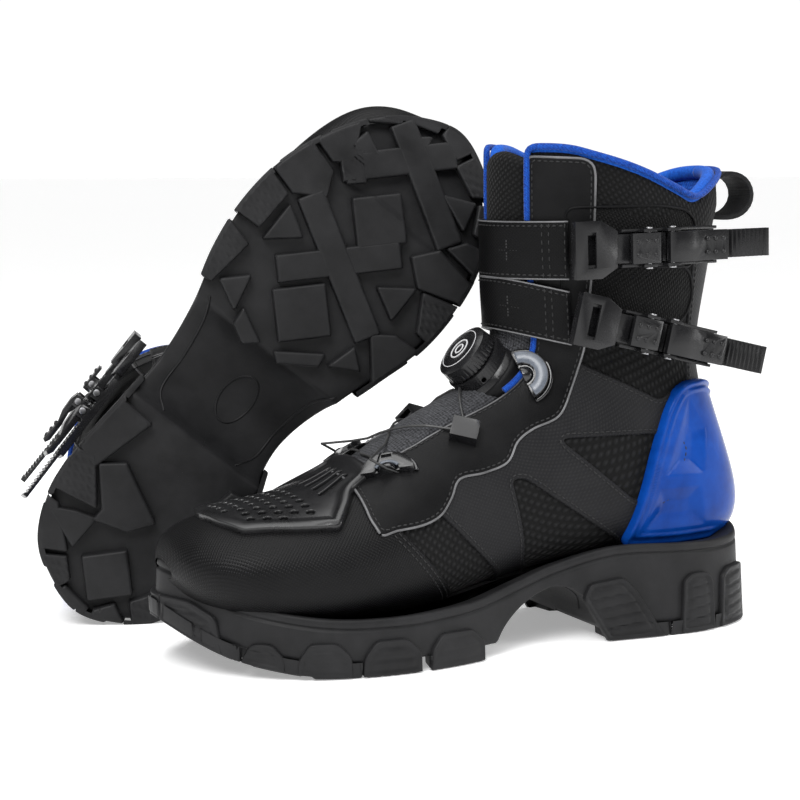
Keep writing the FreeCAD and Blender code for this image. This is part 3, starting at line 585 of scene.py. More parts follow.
def weave(name, dark, light, pitch=0.9, depth=0.35, rough=0.75, sheen=0.3, where="object"):
    """Woven or knit cloth with speckled yarn."""
    m = Nodes(name)
    k = 1 / (pitch * WAVES)
    a = m.waves((k, k, k), where, "DIAGONAL")
    b = m.waves((k, -k, k), where, "DIAGONAL")
    cross = m.math("MAXIMUM", m.math("MULTIPLY", a, b), m.math("MULTIPLY", m.math("SUBTRACT", 1.0, a),
                                                               m.math("SUBTRACT", 1.0, b)))
    speck = m.noise(900, 2.0)
    m.link("Base Color", m.tint(m.mixed(cross, 0.5, m.ramp(speck, 0, 1, 0.35, 0.65), 0.5), dark, light))
    m.link("Roughness", rough)
    m.link("Sheen Weight", sheen)
    m.link("Sheen Roughness", 0.45)
    m.link("Specular IOR Level", 0.15)
    m.bump((cross, 0.8, depth), (speck, 0.4, 0.2))
    return m.mat


def moulded(name, dark, light, rough=(0.3, 0.5), grain=1400, depth=0.03, spec=0.5, coat=0.0):
    """Moulded rubber or plastic with fine texture and slight wear."""
    m = Nodes(name)
    fine = m.noise(grain, 3.0)
    broad = m.noise(45, 5.0, 0.65)
    m.link("Base Color", m.tint(m.ramp(broad, 0, 1, 0.3, 0.7), dark, light))
    m.link("Roughness", m.ramp(m.mixed(fine, 0.4, broad, 0.6), rough[0], rough[1], 0.3, 0.7))
    m.link("Specular IOR Level", spec)
    m.link("Coat Weight", coat)
    m.link("Coat Roughness", 0.12)
    m.bump((fine, 0.5, depth), (broad, 0.2, 0.3))
    return m.mat


VAMP = dotted("vamp_leather", (0.003, 0.003, 0.0033), (0.009, 0.009, 0.0095), 1.3, (0.34, 0.46))
QUARTER = dotted("quarter_leather", (0.009, 0.009, 0.010), (0.022, 0.022, 0.023), 1.5, (0.46, 0.6))
STAY = leather("eyestay_leather", (0.003, 0.003, 0.0033), (0.008, 0.008, 0.0085), 850, (0.34, 0.46))
STRAP = dotted("strap_leather", (0.0015, 0.0015, 0.0017), (0.0045, 0.0045, 0.005), 1.2, (0.38, 0.5), 0.14)
# pale grey painted highlight standing for the light caught by raw leather edges, used on the eyestay piping and the
# strap edges
PAINTED_EDGE_HIGHLIGHT = moulded("leather_edge_painted_highlight", (0.05, 0.05, 0.052), (0.16, 0.16, 0.165), (0.3, 0.5))
MESH = mesh_fabric("spacer_mesh", (0.0012, 0.0012, 0.0012), (0.016, 0.016, 0.017))
COLLAR = mesh_fabric("collar_cloth", (0.001, 0.001, 0.001), (0.013, 0.013, 0.014), 2.3, 0.5)
LOOP_PILE = mesh_fabric("loop_pile", (0.0012, 0.0012, 0.0012), (0.009, 0.009, 0.0095), 1.4, 0.5)
KNIT = weave("tongue_knit", (0.006, 0.006, 0.0065), (0.085, 0.087, 0.095), 1.5, 0.5, 0.8, 0.05, "uv")
BLUE = weave("blue_lining_cloth", (0.002, 0.020, 0.16), (0.010, 0.105, 0.52), 1.6, 0.4, 0.75, 0.1, "uv")
BLUE_CORD = weave("blue_binding", (0.002, 0.018, 0.15), (0.008, 0.085, 0.46), 1.2, 0.3, 0.7, 0.1)
WEB = weave("webbing", (0.002, 0.002, 0.002), (0.016, 0.016, 0.017), 1.0, 0.3, 0.7, 0.05)
RUBBER = moulded("sole_rubber", (0.007, 0.007, 0.0075), (0.017, 0.017, 0.018), (0.42, 0.6), 1100, 0.06, 0.2)
PLASTIC = moulded("buckle_plastic", (0.005, 0.005, 0.0055), (0.012, 0.012, 0.013), (0.2, 0.32), 1700, 0.02, 0.34)
GLOSS = moulded("gloss_plastic", (0.004, 0.004, 0.0045), (0.009, 0.009, 0.010), (0.14, 0.26), 1200, 0.01, 0.5, 0.3)
SATIN = moulded("satin_plastic", (0.006, 0.006, 0.0065), (0.014, 0.014, 0.015), (0.24, 0.36), 1300, 0.02, 0.5)
SILVER = moulded("guide_plastic", (0.07, 0.08, 0.10), (0.15, 0.17, 0.20), (0.22, 0.36), 1500, 0.02)
MARK = moulded("dial_mark", (0.45, 0.45, 0.46), (0.62, 0.62, 0.63), (0.35, 0.5))
BLUE_TPU = moulded("blue_guard_plastic", (0.001, 0.028, 0.19), (0.003, 0.058, 0.33), (0.17, 0.27), 900, 0.012, 0.12)
STEEL = moulded("pin_steel", (0.30, 0.30, 0.31), (0.42, 0.42, 0.43), (0.25, 0.4))
THREAD = moulded("thread", (0.004, 0.004, 0.004), (0.012, 0.012, 0.013), (0.5, 0.7))
WIRE = moulded("lace_wire_cover", (0.02, 0.02, 0.02), (0.05, 0.05, 0.05), (0.25, 0.4))
FOAM = weave("footbed_cloth", (0.01, 0.01, 0.011), (0.04, 0.04, 0.043), 1.4)
STEEL.node_tree.nodes["Principled BSDF"].inputs["Metallic"].default_value = 1.0


# ---- fields on the upper ----
def side_field(poly, round_to):
    """Signed distance in the side view."""
    q = rounded(poly, round_to) if round_to else poly
    return lambda at: inside(at[:, 0], at[:, 2], q)


def both(*fields):
    return lambda at: np.minimum.reduce([f(at) for f in fields])


def either(*fields):
    return lambda at: np.maximum.reduce([f(at) for f in fields])


def minus(a, b):
    return lambda at: np.minimum(a(at), -b(at))


def from_top(at):
    """Height left under the top line."""
    return level(TOP_LINE, at[:, 0]) - at[:, 2]


def under_top(drop):
    return lambda at: level(TOP_LINE, at[:, 0]) - drop - at[:, 2]


def above_z(z):
    return lambda at: at[:, 2] - z


def below_z(z):
    return lambda at: z - at[:, 2]


THROAT_END, THROAT_BACK, THROAT_LOW = 214.0, 100.0, 60.0


def off_throat(half):
    """Positive outside the tongue's opening, which narrows by 3 mm towards the toe."""
    def field(at):
        x, y, z = at[:, 0], np.abs(at[:, 1]), at[:, 2]
        width = half - ease(x - (THROAT_END - 24), 24) * 3
        return np.maximum.reduce([y - width, x - THROAT_END, THROAT_LOW - z, THROAT_BACK - x])
    return field


FOOT_LOW = above_z(18.0)
WAVY = spline([(105, 160), (105, 150), (107, 138), (112, 123), (120, 110), (134, 104.5), (143, 99), (150, 90),
               (163, 86), (176, 84), (182, 76), (189, 69), (199, 65.5), (213, 64)])
VAMP_POLY = [(172, 5), (177, 28), (193, 46), (209, 63), (215, 72), (224, 110), (340, 110), (340, 5)]
STAY_POLY = np.vstack([[(137, 222), (135, 231), (131, 234), (110, 233), (106, 230), (105, 225)], WAVY,
                       [(221, 62), (224, 70), (222, 110), (190, 130), (160, 150), (145, 190)]])
QUARTER_POLY = [(188, 69), (170.5, 52), (153, 36), (146, 12), (-20, 12), (-20, 122), (50, 122), (66, 116), (104, 133.5),
                (116, 140), (150, 118), (175, 98), (194, 80)]
WINDOW_ONE = [(121, 99.5), (68, 99), (50, 92), (60, 66), (78, 66)]
WINDOW_TWO = [(148, 82), (141, 82), (84, 45), (84, 36), (136.5, 36)]
BACK_POLY = [(47, 100), (47, 186), (41, 196), (10, 196), (-10, 196), (-10, 100)]
PATCH_LOW = [(118, 182), (62, 185), (49, 178), (45, 166), (50, 155), (64, 149), (84, 150), (118, 160)]
PATCH_HIGH = [(118, 210), (74, 211), (56, 209), (48, 203), (48, 180), (118, 182)]

# ---- the upper ----
LAYER = -1.0                 # cloth lies this far under the CAD surface, panels rise from it
SKIN = upper_sheet()
threads = []


def leather_panel(name, field, material, thick, base=LAYER, rows=(2.3,), roll=1.1, extra=None, row_field=None):
    """A sewn panel with rows of stitches at these distances from the edge of row_field."""
    s = panel(SKIN, field, thick, roll, base, 0.4, extra)
    make_sheet(name, s, material, slot="black_leather", replaces=["upper"])
    for at in rows:
        for run in s.contour(row_field or field, at):
            threads.extend(stitches(run))
    return s


def ankle_puff(at, d):
    """Padding behind the shaft's top."""
    return 1.6 * ease(d, 14) * ease(from_top(at), 9) * ease(at[:, 2] - 196, 14) * ease(100 - at[:, 0], 14)


cloth = off_throat(20.5)
shaft_field = both(under_top(1.0), cloth, above_z(140.0))
low_field = both(cloth, FOOT_LOW, below_z(146.0))
shaft = panel(SKIN, shaft_field, 2.2, 4.5, LAYER - 2.2, 0.0, ankle_puff)
make_sheet("shaft_cloth", shaft, COLLAR, slot="webbing", replaces=["upper"])
make_sheet("foot_mesh", panel(SKIN, low_field, 0.5, 1.0, LAYER - 0.5, 0.0), MESH, slot="webbing", replaces=["upper"])

vamp_edge = side_field(VAMP_POLY, 0)
leather_panel("vamp", both(vamp_edge, FOOT_LOW, off_throat(22.0)), VAMP, 1.2, rows=(2.2, 4.6), row_field=vamp_edge)
windows = either(side_field(WINDOW_ONE, 6), side_field(WINDOW_TWO, 8))
quarter_field = minus(both(side_field(QUARTER_POLY, 2), FOOT_LOW, off_throat(22.0)), windows)
leather_panel("quarter", quarter_field, QUARTER, 1.3)
stay_field = both(side_field(STAY_POLY, 2), off_throat(21.5), under_top(3.0))
stay = leather_panel("eyestay", stay_field, STAY, 1.3, base=LAYER + 1.0, extra=lambda at, d: -ease(at[:, 2] - 140, 20))
# the eyestay piping is coloured with the pale painted edge highlight
for run in stay.contour(stay_field, 0.35):
    run = even(run, 2.0)[0]
    make("eyestay_piping_" + ("outer" if run[:, 1].mean() > 0 else "inner"),
         *tube(run[:, :3] + run[:, 3:6] * 0.1, 0.62), PAINTED_EDGE_HIGHLIGHT, slot="black_leather", replaces=["upper"])
leather_panel("backstay", both(side_field(BACK_POLY, 5), under_top(4.0)), QUARTER, 0.9)
borders = []
for tag, poly in (("low", PATCH_LOW), ("high", PATCH_HIGH)):
    patch_field = side_field(poly, 5)
    s = leather_panel("strap_patch_" + tag, patch_field, LOOP_PILE, 1.0, rows=(), roll=0.8)
    for run in s.contour(patch_field, 0.5):
        if len(run) > 12:
            run = even(run, 1.5)[0]
            borders.append(tube(run[:, :3] + run[:, 3:6] * 0.2, 0.8, 6))
make("strap_patch_piping", *join(borders), STAY, slot="black_leather", replaces=["upper"])

# lining, with the padded roll at the collar
lining_field = both(under_top(0.5), cloth, lambda at: at[:, 2] - level(FEATHER, at[:, 0]) - 12.5)
lining = panel(upper_sheet(grow=-8.0).turned_over(), lining_field, 0.01, 2.0, 0.0, 0.0,
               lambda at, d: -4.2 * np.clip(1 - from_top(at) / 11.0, 0, 1) ** 2)
make_sheet("lining_cloth", lining, BLUE, slot="blue_lining", replaces=["lining"])
edge_field = both(under_top(1.0), cloth)
rolls, cords = [], []
for rim in SKIN.copy().cut(above_z(120), [0.0]).contour(edge_field, 0.8):
    if len(rim) < 30:
        continue
    rim = even(rim, 2.0)[0]
    for inward, rise, radius, sides, found in ((-5.0, 0.0, 3.6, 12, rolls), (0.2, 2.2, 1.6, 8, cords)):
        path = rim[:, :3] + rim[:, 3:6] * inward + [0, 0, rise]
        for _ in range(4):
            path[1:-1] = (path[:-2] + path[1:-1] * 2 + path[2:]) / 4
        found.append(tube(path, radius, sides))
for pad in make("collar_roll", *join(rolls), BLUE, slot="blue_lining", replaces=["lining"]):
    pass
make("collar_binding", *join(cords), BLUE_CORD, slot="blue_lining", replaces=["lining"])

# tongue
tongue_room = both(lambda at: 21.0 - np.abs(at[:, 1]), lambda at: 216.0 - at[:, 0], lambda at: at[:, 0] - 98.0,
                   lambda at: level(TOP_LINE, at[:, 0]) - 1.5 - 0.012 * at[:, 1] ** 2 - at[:, 2], above_z(74.0))
TOP_STRIP = upper_sheet(-0.14, 0.14, 5.0, 20.0, 1.2)
outer = panel(TOP_STRIP, tongue_room, 4.4, 5.0, -5.2, 0.0, lambda at, d: 1.2 * ease(d, 16) ** 0.7)
under = panel(TOP_STRIP.turned_over(), tongue_room, 3.0, 4.0, 5.2, 0.0)
CLOTH_CHANGE = 150                         # knit below this height, collar cloth above
for name, part, fabric in (("tongue_low", below_z, KNIT), ("tongue_top", above_z, COLLAR)):
    for pad in make_sheet(name, outer.copy().cut(part(CLOTH_CHANGE), [0.0]), fabric, slot="knit_fabric",
                          replaces=["tongue"]):
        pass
make_sheet("tongue_lining", under, BLUE, slot="blue_lining", replaces=["tongue"])

# ---- guards ----
HEEL_GUARD = [(-25, 44), (20, 44), (84, 44), (72, 86), (63, 112), (57, 121), (50, 124), (36, 124), (26, 119),
              (-25, 119)]
FACET_TOP = [(50, 116), (64, 78), (40, 78), (38, 100)]
FACET_LOW = [(67, 72), (42, 72), (36, 52), (74, 52)]
FACET_SLOPE, FACET_REACH = 0.42, 7         # a facet sinks by this slope as far as this from its edge


def heel_relief(at, d):
    """Double rim in front, a ridged triangle above a sunk pyramid, and a saw of ribs down the back."""
    x, y, z = at[:, 0], at[:, 1], at[:, 2]
    high = (1.3 * np.exp(-((d - 1.8) / 1.0) ** 4) + 1.0 * np.exp(-((d - 5.0) / 0.9) ** 4)) * ease(x - 24, 6)
    for facet in (FACET_TOP, FACET_LOW):
        high = high - FACET_SLOPE * np.clip(inside(x, z, facet), 0, FACET_REACH)
    saw = np.abs((z / 6.5) % 1.0 - 0.5) * 2
    back = ease(8 - np.abs(y), 2) * ease(118 - z, 4) * ease(z - 54, 4)
    return high + back * (0.4 + 1.5 * saw) * (x < 30)


BACK_SKIN = upper_sheet(0.26, 0.74, 9.0, 16.5, 0.85)
heel_field = both(side_field(HEEL_GUARD, 6), lambda at: at[:, 2] - level(RUBBER_TOP, at[:, 0]) + 1.0)
make_sheet("heel_guard_shell", panel(BACK_SKIN, heel_field, 3.2, 1.0, LAYER + 1.2, 0.6, heel_relief), BLUE_TPU,
           slot="blue_plastic", replaces=["heel_guard"])

TOE_GUARD = np.array([(290, 0), (287, 16), (280, 30), (259, 39), (238, 45), (229, 34), (224, 26), (212, 22),
                      (212, -22), (224, -24), (229, -31), (238, -41), (259, -35), (280, -28), (287, -15)])
guard_edge = rounded(TOE_GUARD, 3)
HOLE_PITCH, HOLE_RADIUS, SLOT_RADIUS = 6.6, 1.75, 1.5
HOLES = []
for row in range(6):
    for k in range(-6, 7):
        hx, hy = 280 - HOLE_PITCH * row, k * HOLE_PITCH + (HOLE_PITCH / 2 if row % 2 else 0) + 1.0
        if inside(np.array([hx]), np.array([hy]), guard_edge)[0] > 7.0:
            HOLES.append((hx, hy))
SLOTS = [[(236, 6 + 9 * k * s), (222, 3 + 7 * k * s)] for s in (1, -1) for k in (0.45, 1.35)]


def hole_field(at):
    """Positive outside the guard's holes and slots."""
    x, y = at[:, 0], at[:, 1]
    d = np.full(len(at), FAR)
    for hx, hy in HOLES:
        d = np.minimum(d, np.hypot(x - hx, y - hy) - HOLE_RADIUS)
    for (ax, ay), (bx, by) in SLOTS:
        dx, dy = bx - ax, by - ay
        t = np.clip(((x - ax) * dx + (y - ay) * dy) / (dx ** 2 + dy ** 2), 0, 1)
        d = np.minimum(d, np.hypot(x - ax - t * dx, y - ay - t * dy) - SLOT_RADIUS)
    return d


TOE_SKIN = upper_sheet(-0.3, 0.3, 1.5, 8.5, 0.6)
guard_outline = lambda at: np.minimum(inside(at[:, 0], at[:, 1], guard_edge), at[:, 2] - 52)
guard_field = lambda at: np.minimum(guard_outline(at), hole_field(at))


def guard_relief(at, d):
    """A raised rim, lower at the toe, and a field sunk inside it."""
    e = guard_outline(at)
    rim = 1.5 * np.clip(1 - ((e - 2.4) / 2.4) ** 2, 0, 1) ** 0.6 * np.clip((252 - at[:, 0]) / 10, 0.25, 1)
    return rim - 0.5 * ease(e - 5, 2)


make_sheet("toe_guard_plate", panel(TOE_SKIN, guard_field, 2.4, 0.45, LAYER + 1.6, 0.8, guard_relief), SATIN,
           slot="black_plastic", replaces=["toe_guard"])
make_sheet("toe_guard_bed", panel(TOE_SKIN, lambda at: guard_outline(at) - 1.5, 0.8, 1.0, LAYER + 1.2, 0.0), MESH,
           slot="webbing", replaces=["toe_guard"])

# ---- straps ----
TREE = BVHTree.FromPolygons([tuple(p) for p in SKIN.at[:, :3]], [tuple(int(i) for i in t) for t in SKIN.tri])
SHAFT_X = 82.0                             # middle of the shaft
SHAFT_RADIUS = 52
STRAP_RISE, STRAP_THICK, STRAP_EDGE = 1.5, 2.6, 0.9


def on_shaft(angle, z, out):
    """Point on the shaft at an angle from straight ahead, and its outward direction."""
    def hit(a, h):
        p = TREE.ray_cast(Vector((SHAFT_X, 0, h)), Vector((math.cos(a), math.sin(a), 0)))[0]
        return np.array(p)
    p = hit(angle, z)
    n = np.cross(hit(angle + 0.03, z) - hit(angle - 0.03, z), hit(angle, z + 2) - hit(angle, z - 2))
    n /= np.linalg.norm(n)
    return p + n * out, n


def strap_point(kind, angle, across, out):
    """Point on a strap at a distance across from its middle line, and its outward direction."""
    x0, z0, slope, _ = BUCKLES[kind]
    t = math.tan(math.radians(slope))
    p, n = on_shaft(angle, z0 + across, 0)
    for _ in range(3):
        p, n = on_shaft(angle, z0 + (x0 - p[0]) * t + across, out)
    return p, n


def strap(kind):
    """A strap with its stitching, its cross mark and its cut edges coloured as a pale painted highlight, bent between
    boot and ladder.
    """
    end = math.atan2(40, 121 - SHAFT_X)
    angles = np.linspace(-math.atan2(40, -22), end, 90)
    h, t, r = BUCKLES[kind][3] / 2, STRAP_THICK, STRAP_EDGE
    top = [(c, t) for c in np.linspace(-h + r, h - r, 9)]
    ring = [(-h, 0.3), (-h, t - r), (-h + 0.3 * r, t - 0.3 * r)] + top + [(h - 0.3 * r, t - 0.3 * r), (h, t - r),
                                                                         (h, 0.3), (h - r, 0), (0, 0), (-h + r, 0)]
    verts = [strap_point(kind, a, c, STRAP_RISE + o)[0] for a in angles for c, o in ring]
    faces = quads(len(angles), len(ring), backward=True) + [cap[::-1] for cap in caps(len(angles), len(ring))]
    uv = [(c * MM, a * SHAFT_RADIUS * MM) for a in angles for c, o in ring]
    on_strap = dict(body=None, slot="black_leather", replaces=[kind + "_strap"])
    pieces = make(kind + "_strap_leather", verts, faces, STRAP, uv=uv, **on_strap)
    face, seam = STRAP_RISE + t, h - 2.4
    lines = [[(a, c) for a in angles[:-2]] for c in (-seam, seam)]
    lines += [[(end - back, c) for c in np.linspace(-seam, seam, 12)] for back in (0.03, 0.17, 0.23)]
    sewn = []
    for line in lines:
        sewn += stitches(np.array([np.concatenate(strap_point(kind, a, c, face)) for a, c in line]))
    mark, two_slopes = end - 0.55, [[0, 1, 2, 3], [1, 0, 4, 5]]
    for k in (-3, -2, -1, 1, 2, 3):
        p, n = strap_point(kind, mark + k * 0.028, 0, face - 0.1)
        q, _ = strap_point(kind, mark + k * 0.028 + 0.01, 0, face - 0.1)
        up, crest = np.array([0, 0, 0.7]), n * 0.12
        sewn.append((np.array([p + crest, q + crest, q + up, p + up, p - up, q - up]), two_slopes))
        p, n = strap_point(kind, mark, k * 1.45, face - 0.1)
        up, crest, aside = np.array([0, 0, 0.5]), n * 0.12, np.array([-0.6, 0.2, 0])
        sewn.append((np.array([p + crest - up, p + crest + up, p + aside + up, p + aside - up, p - aside - up,
                               p - aside + up]), two_slopes))
    pieces += make(kind + "_strap_stitching", *join(sewn), THREAD, **on_strap)
    # tubes along the strap's cut edges, coloured pale as a painted highlight
    edge_highlight_tubes = [tube([strap_point(kind, a, c, face - 0.15)[0] for a in angles], 0.42, 6) for c in (-h + 0.5, h - 0.5)]
    pieces += make(kind + "_strap_cut_edge", *join(edge_highlight_tubes), PAINTED_EDGE_HIGHLIGHT, **on_strap)
    start = strap_point(kind, -0.9, 0, 2)[0]
    stop = strap_point(kind, end - 0.12, 0, 2)[0]
    for p in pieces:
        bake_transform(p)


for kind in BUCKLES:
    strap(kind)
make("stitching", *join(threads), THREAD, slot="black_leather", replaces=["upper"])

# ---- sole ----
def ring_points():
    o = spline(OUTLINE, 40, closed=True)
    o = np.vstack([o, o[:1]])
    arc = arc_length(o)
    at = np.linspace(0, arc[-1], 521)[:-1]
    return np.column_stack([np.interp(at, arc, o[:, k]) for k in (0, 1)])


RING = ring_points()
tangent = np.roll(RING, -1, axis=0) - np.roll(RING, 1, axis=0)
tangent /= np.linalg.norm(tangent, axis=1, keepdims=True)
RING_OUT = np.column_stack([-tangent[:, 1], tangent[:, 0]])
LUG_DEPTH = 6.5
LUG_SPREAD = 1.1
OUTLINE_FINE = RING[::3]


def tread_z(x):
    return level(TREAD, x)


def plate_z(x):
    """Underside between the lugs, with the arch."""
    arch = np.where((x > 101.5) & (x < 166.5), level(ARCH, x), -9)
    return np.maximum(tread_z(x) + LUG_DEPTH, arch)


def wall_offset(z):
    return -WALL_LEAN * (z + 8)


def wall_shape(x):
    """Profile of the rubber wall at one station: (outward offset, z) from the rim to the bottom."""
    top, bottom = level(RUBBER_TOP, x), plate_z(x)
    rows = [(-14.5, top - 10.0), (-13, top - 3.4), (-8.5, top - 1.3), (-4.5, top - 0.5), (-2.0, top - 0.1), (-0.9, top),
            (-0.2, top - 0.7), (0, top - 1.8), (0, top - 3.4), (-0.3, top - 3.9), (-1.0, top - 4.3), (-1.0, top - 4.9),
            (-0.2, top - 5.5), (0, top - 6.2)]
    for share in np.linspace(0.06, 0.94, 9):
        rows.append((0, (top - 6.2) * (1 - share) + (bottom + 1.4) * share))
    rows += [(-0.1, bottom + 0.9), (-0.5, bottom + 0.3), (-1.4, bottom)]
    return [(o + wall_offset(z), z) for o, z in rows]


def sole_body():
    """The wall and the underside, column by column round the outline."""
    verts = []
    for (x, y), n in zip(RING, RING_OUT):
        col = [(x + n[0] * o, y + n[1] * o, z) for o, z in wall_shape(x)]
        ex, ey = x - n[0] * 1.8, y - n[1] * 1.8
        cx = min(max(x, 30), 285)
        for share in (0.2, 0.45, 0.7, 1.0):
            px, py = ex + (cx - ex) * share, ey * (1 - share)
            col.append((px, py, float(plate_z(np.array(px)))))
        verts += col
    return np.array(verts), quads(len(RING), len(col), rows_ring=True, across_ring=False)


make("sole_wall", *sole_body(), RUBBER, slot="sole_rubber", replaces=["outsole"])


def diamond(x, y, half):
    return [(x + half, y), (x, y + half), (x - half, y), (x, y - half)]


def bar(x0, y0, x1, y1, width):
    d = math.hypot(x1 - x0, y1 - y0)
    nx, ny = -(y1 - y0) / d * width / 2, (x1 - x0) / d * width / 2
    return [(x0 + nx, y0 + ny), (x1 + nx, y1 + ny), (x1 - nx, y1 - ny), (x0 - nx, y0 - ny)]


E = 75                                     # well outside the outline, which trims the outer lugs
PLAIN_LUGS = [diamond(186, 3, 18), diamond(247, 1, 17), diamond(22, -2, 15),
              bar(196, 26, 240, -18, 12.5), bar(235, 36, 197, -31, 12.5), bar(256, 32, 299, -10, 12.5),
              bar(294, 21, 260, -35, 12.5), bar(268, 34, 255, 22, 9),
              [(224, 41), (216, 27), (204, 41)], [(220, -20), (231, -35), (212, -35)],
              [(278, 33), (273, 22), (265, 36)],
              [(290, 14), (298, 5), (283, 4)], [(278, -18), (285, -33), (271, -36)], [(174, 45), (184, 35), (167, 31)],
              [(169, 27), (161, 11), (156, 17), (161, 26)], [(188, -29), (181, -38), (174, -25)],
              [(162, 1), (176, -19), (170, -20), (159, -3)],
              [(239, E), (231, 44), (240, 30), (251, 35), (263, E)],
              [(267, E), (256, 38), (262, 30), (282, 40), (291, E)],
              [(178, -E), (178, -50), (199, -32), (206, -42), (208, -E)],
              [(246, -E), (233, -36), (243, -24), (254, -33), (250, -58)],
              [(254, -E), (258, -36), (266, -42), (274, -E)], [(278, -E), (273, -42), (286, -36), (302, -E)],
              [(298, 18), (303, 4), (340, 4), (340, 40)], [(304, 0), (298, -12), (340, -34), (340, 0)],
              [(97, 60), (95, 28), (62, 37), (70, 60)],
              [(72, 25), (64, 35), (47, 20), (24, 21), (32, 42), (38, 30), (46, 4), (57, -4)],
              [(36, 60), (36, 40), (20, 22), (10, 40)], [(-20, 20), (5, 11), (3, -4), (-20, -6)],
              [(-20, -9), (4, -8), (12, -14), (4, -30), (-20, -34)], [(68, -60), (64, -20), (92, -26), (97, -60)]]
RIBBED_LUGS = [[(168, E), (171, 49), (196, 46), (203, E)], [(206, E), (207, 47), (228, 46), (236, E)],
               [(284, 36), (294, 22), (330, 40), (300, 60)], [(212, -E), (215, -50), (232, -40), (242, -E)],
               [(295, -15), (288, -30), (310, -60), (340, -38)], [(60, 60), (66, 40), (46, 24), (40, 60)],
               [(7, 36), (17, 20), (9, 12), (-20, 24)], [(8, -30), (18, -20), (30, -28), (20, -60), (0, -50)],
               [(34, -60), (36, -26), (58, -20), (64, -60)]]


def lug(poly, ribbed, drop=0.0):
    """One tread lug, cut to the outline; drop keeps crossing bars off one plane."""
    poly = np.array(poly, float)
    lo, hi = np.maximum(poly.min(0) - 2, [-4, -64]), np.minimum(poly.max(0) + 2, [316, 66])
    xs, ys = np.arange(lo[0], hi[0], 1.25), np.arange(lo[1], hi[1], 1.25)
    gx, gy = np.meshgrid(xs, ys)
    grid = Sheet(np.stack([gx, gy, tread_z(gx) + LUG_DEPTH], 2), flip=True)
    grid.at[:, 3:6] = [0, 0, -1]

    def field(at):
        return LUG_SPREAD + np.minimum(inside(at[:, 0], at[:, 1], poly), inside(at[:, 0], at[:, 1], OUTLINE_FINE))
    s = grid.cut(field, [0.0], keep=0.0)
    s.cut(field, [0.3, 0.7, 1.3], keep=-FAR)
    d = field(s.at)
    h = np.interp(d, [0, 0.3, 0.7, 1.3], [-0.8, LUG_DEPTH - 0.9, LUG_DEPTH - 0.3, LUG_DEPTH]) - drop
    if ribbed:
        rib = np.abs(((s.at[:, 0] * 0.94 + s.at[:, 1] * 0.34) / 4.4) % 1 - 0.5) * 2
        h = h - 0.9 * np.clip(1 - rib * 2.2, 0, 1) * ease(d - 0.7, 1.5)
    return s.lift(h)


lugs = [lug(p, False, 0.12 * (i % 2)) for i, p in enumerate(PLAIN_LUGS)] + [lug(p, True) for p in RIBBED_LUGS]
make_sheet("tread_lugs", join_sheets(lugs), RUBBER, slot="sole_rubber", replaces=["outsole"])


def wall_sheet():
    p = np.array([np.column_stack([RING + RING_OUT * wall_offset(z), np.full(len(RING), z)])
                  for z in np.arange(-2.0, 50.0, 0.85)])
    return Sheet(np.concatenate([p, p[:, :1]], 1), flip=True)


WALL = wall_sheet()
SIDE_BLOCKS = [([(a, -9), (b, -9), (b - 1, 9), (b - slope, 16.5), (a + slope, 16.5), (a, 10)], False)
               for a, b, slope in ((170, 201, 7), (205, 234, 7), (238, 262, 6), (266, 284, 5))]
SIDE_BLOCKS.append(([(112, 22), (108, 29), (90, 31), (83, 24), (62, -9), (93, -9)], True))
SIDE_BLOCKS += [([(a, -9), (b, -9), (b - 2, 26), (b - 7, 30), (a + 6, 30), (a + 2, 26)], True)
                for a, b in ((37, 59), (8, 34))]
SIDE_BLOCKS.append(([(287, -9), (330, -9), (330, 36), (300, 34), (291, 27)], False))
SIDE_BLOCKS.append(([(-20, -9), (5, -9), (4, 26), (-20, 28)], True))


def side_block(poly, ribs, side):
    """A block on one side of the sole's wall, with a sunk frame and grooves."""
    q = rounded(poly, 2.5)

    def field(at):
        d = np.minimum(inside(at[:, 0], at[:, 2], q), at[:, 1] * side)
        return np.minimum(d, at[:, 2] - tread_z(at[:, 0]) - 0.4)

    def relief(at, d):
        z = at[:, 2] + (at[:, 0] * 0.12 if ribs else 0)
        rib = np.abs((z / 5.2) % 1 - 0.5) * 2
        groove = np.clip(1 - rib * 3.4, 0, 1) * ease(d - 2.6, 1.5)
        frame_line = np.exp(-((d - 2.8) / 0.8) ** 2)
        return -(1.2 if ribs else 0.7) * groove - (1.0 if ribs else 0.5) * frame_line
    return panel(WALL, field, 2.3, 0.7, 0.0, 0.7, relief)


blocks = [side_block(p, r, s) for p, r in SIDE_BLOCKS for s in (1, -1)]
make_sheet("sole_side_blocks", join_sheets(blocks), RUBBER, slot="sole_rubber", replaces=["outsole"])

# ---- details of the lacing, the dial and the arch ----
def seat_frame(x, z, side, tilt):
    """Origin, long direction, cross direction and outward direction of a lace guide."""
    def hit(x, z):
        return np.array(TREE.ray_cast(Vector((x, side * 110, z)), Vector((0, -side, 0)))[0])
    p = hit(x, z)
    n = np.cross(hit(x + 4, z) - hit(x - 4, z), hit(x, z + 4) - hit(x, z - 4))
    n *= np.sign(n[1] * side) / np.linalg.norm(n)
    d = np.array([math.cos(math.radians(tilt)), 0, -math.sin(math.radians(tilt))])
    d -= n * (n @ d)
    d /= np.linalg.norm(d)
    return p, d, np.cross(n, d), n


def turned(profile, frame, start=0.0, stop=2 * math.pi, steps=72, closed=True):
    """A closed or open (radius, height) profile turned about the frame's outward direction."""
    p, a, b, n = frame
    whole = stop - start > 6.28
    count = steps if whole else steps + 1
    verts = []
    for i in range(count):
        g = start + (stop - start) * i / steps
        for r, h in profile:
            verts.append(p + (a * math.cos(g) + b * math.sin(g)) * r + n * h)
    faces = quads(count, len(profile), rows_ring=whole, across_ring=closed)
    if closed and not whole:
        faces += caps(count, len(profile))
    return np.array(verts), faces


def flat_ring(r0, r1, low, high, bevel=0.25):
    return [(r0, low), (r1, low), (r1, high - bevel), (r1 - bevel, high), (r0 + bevel, high), (r0, high - bevel)]


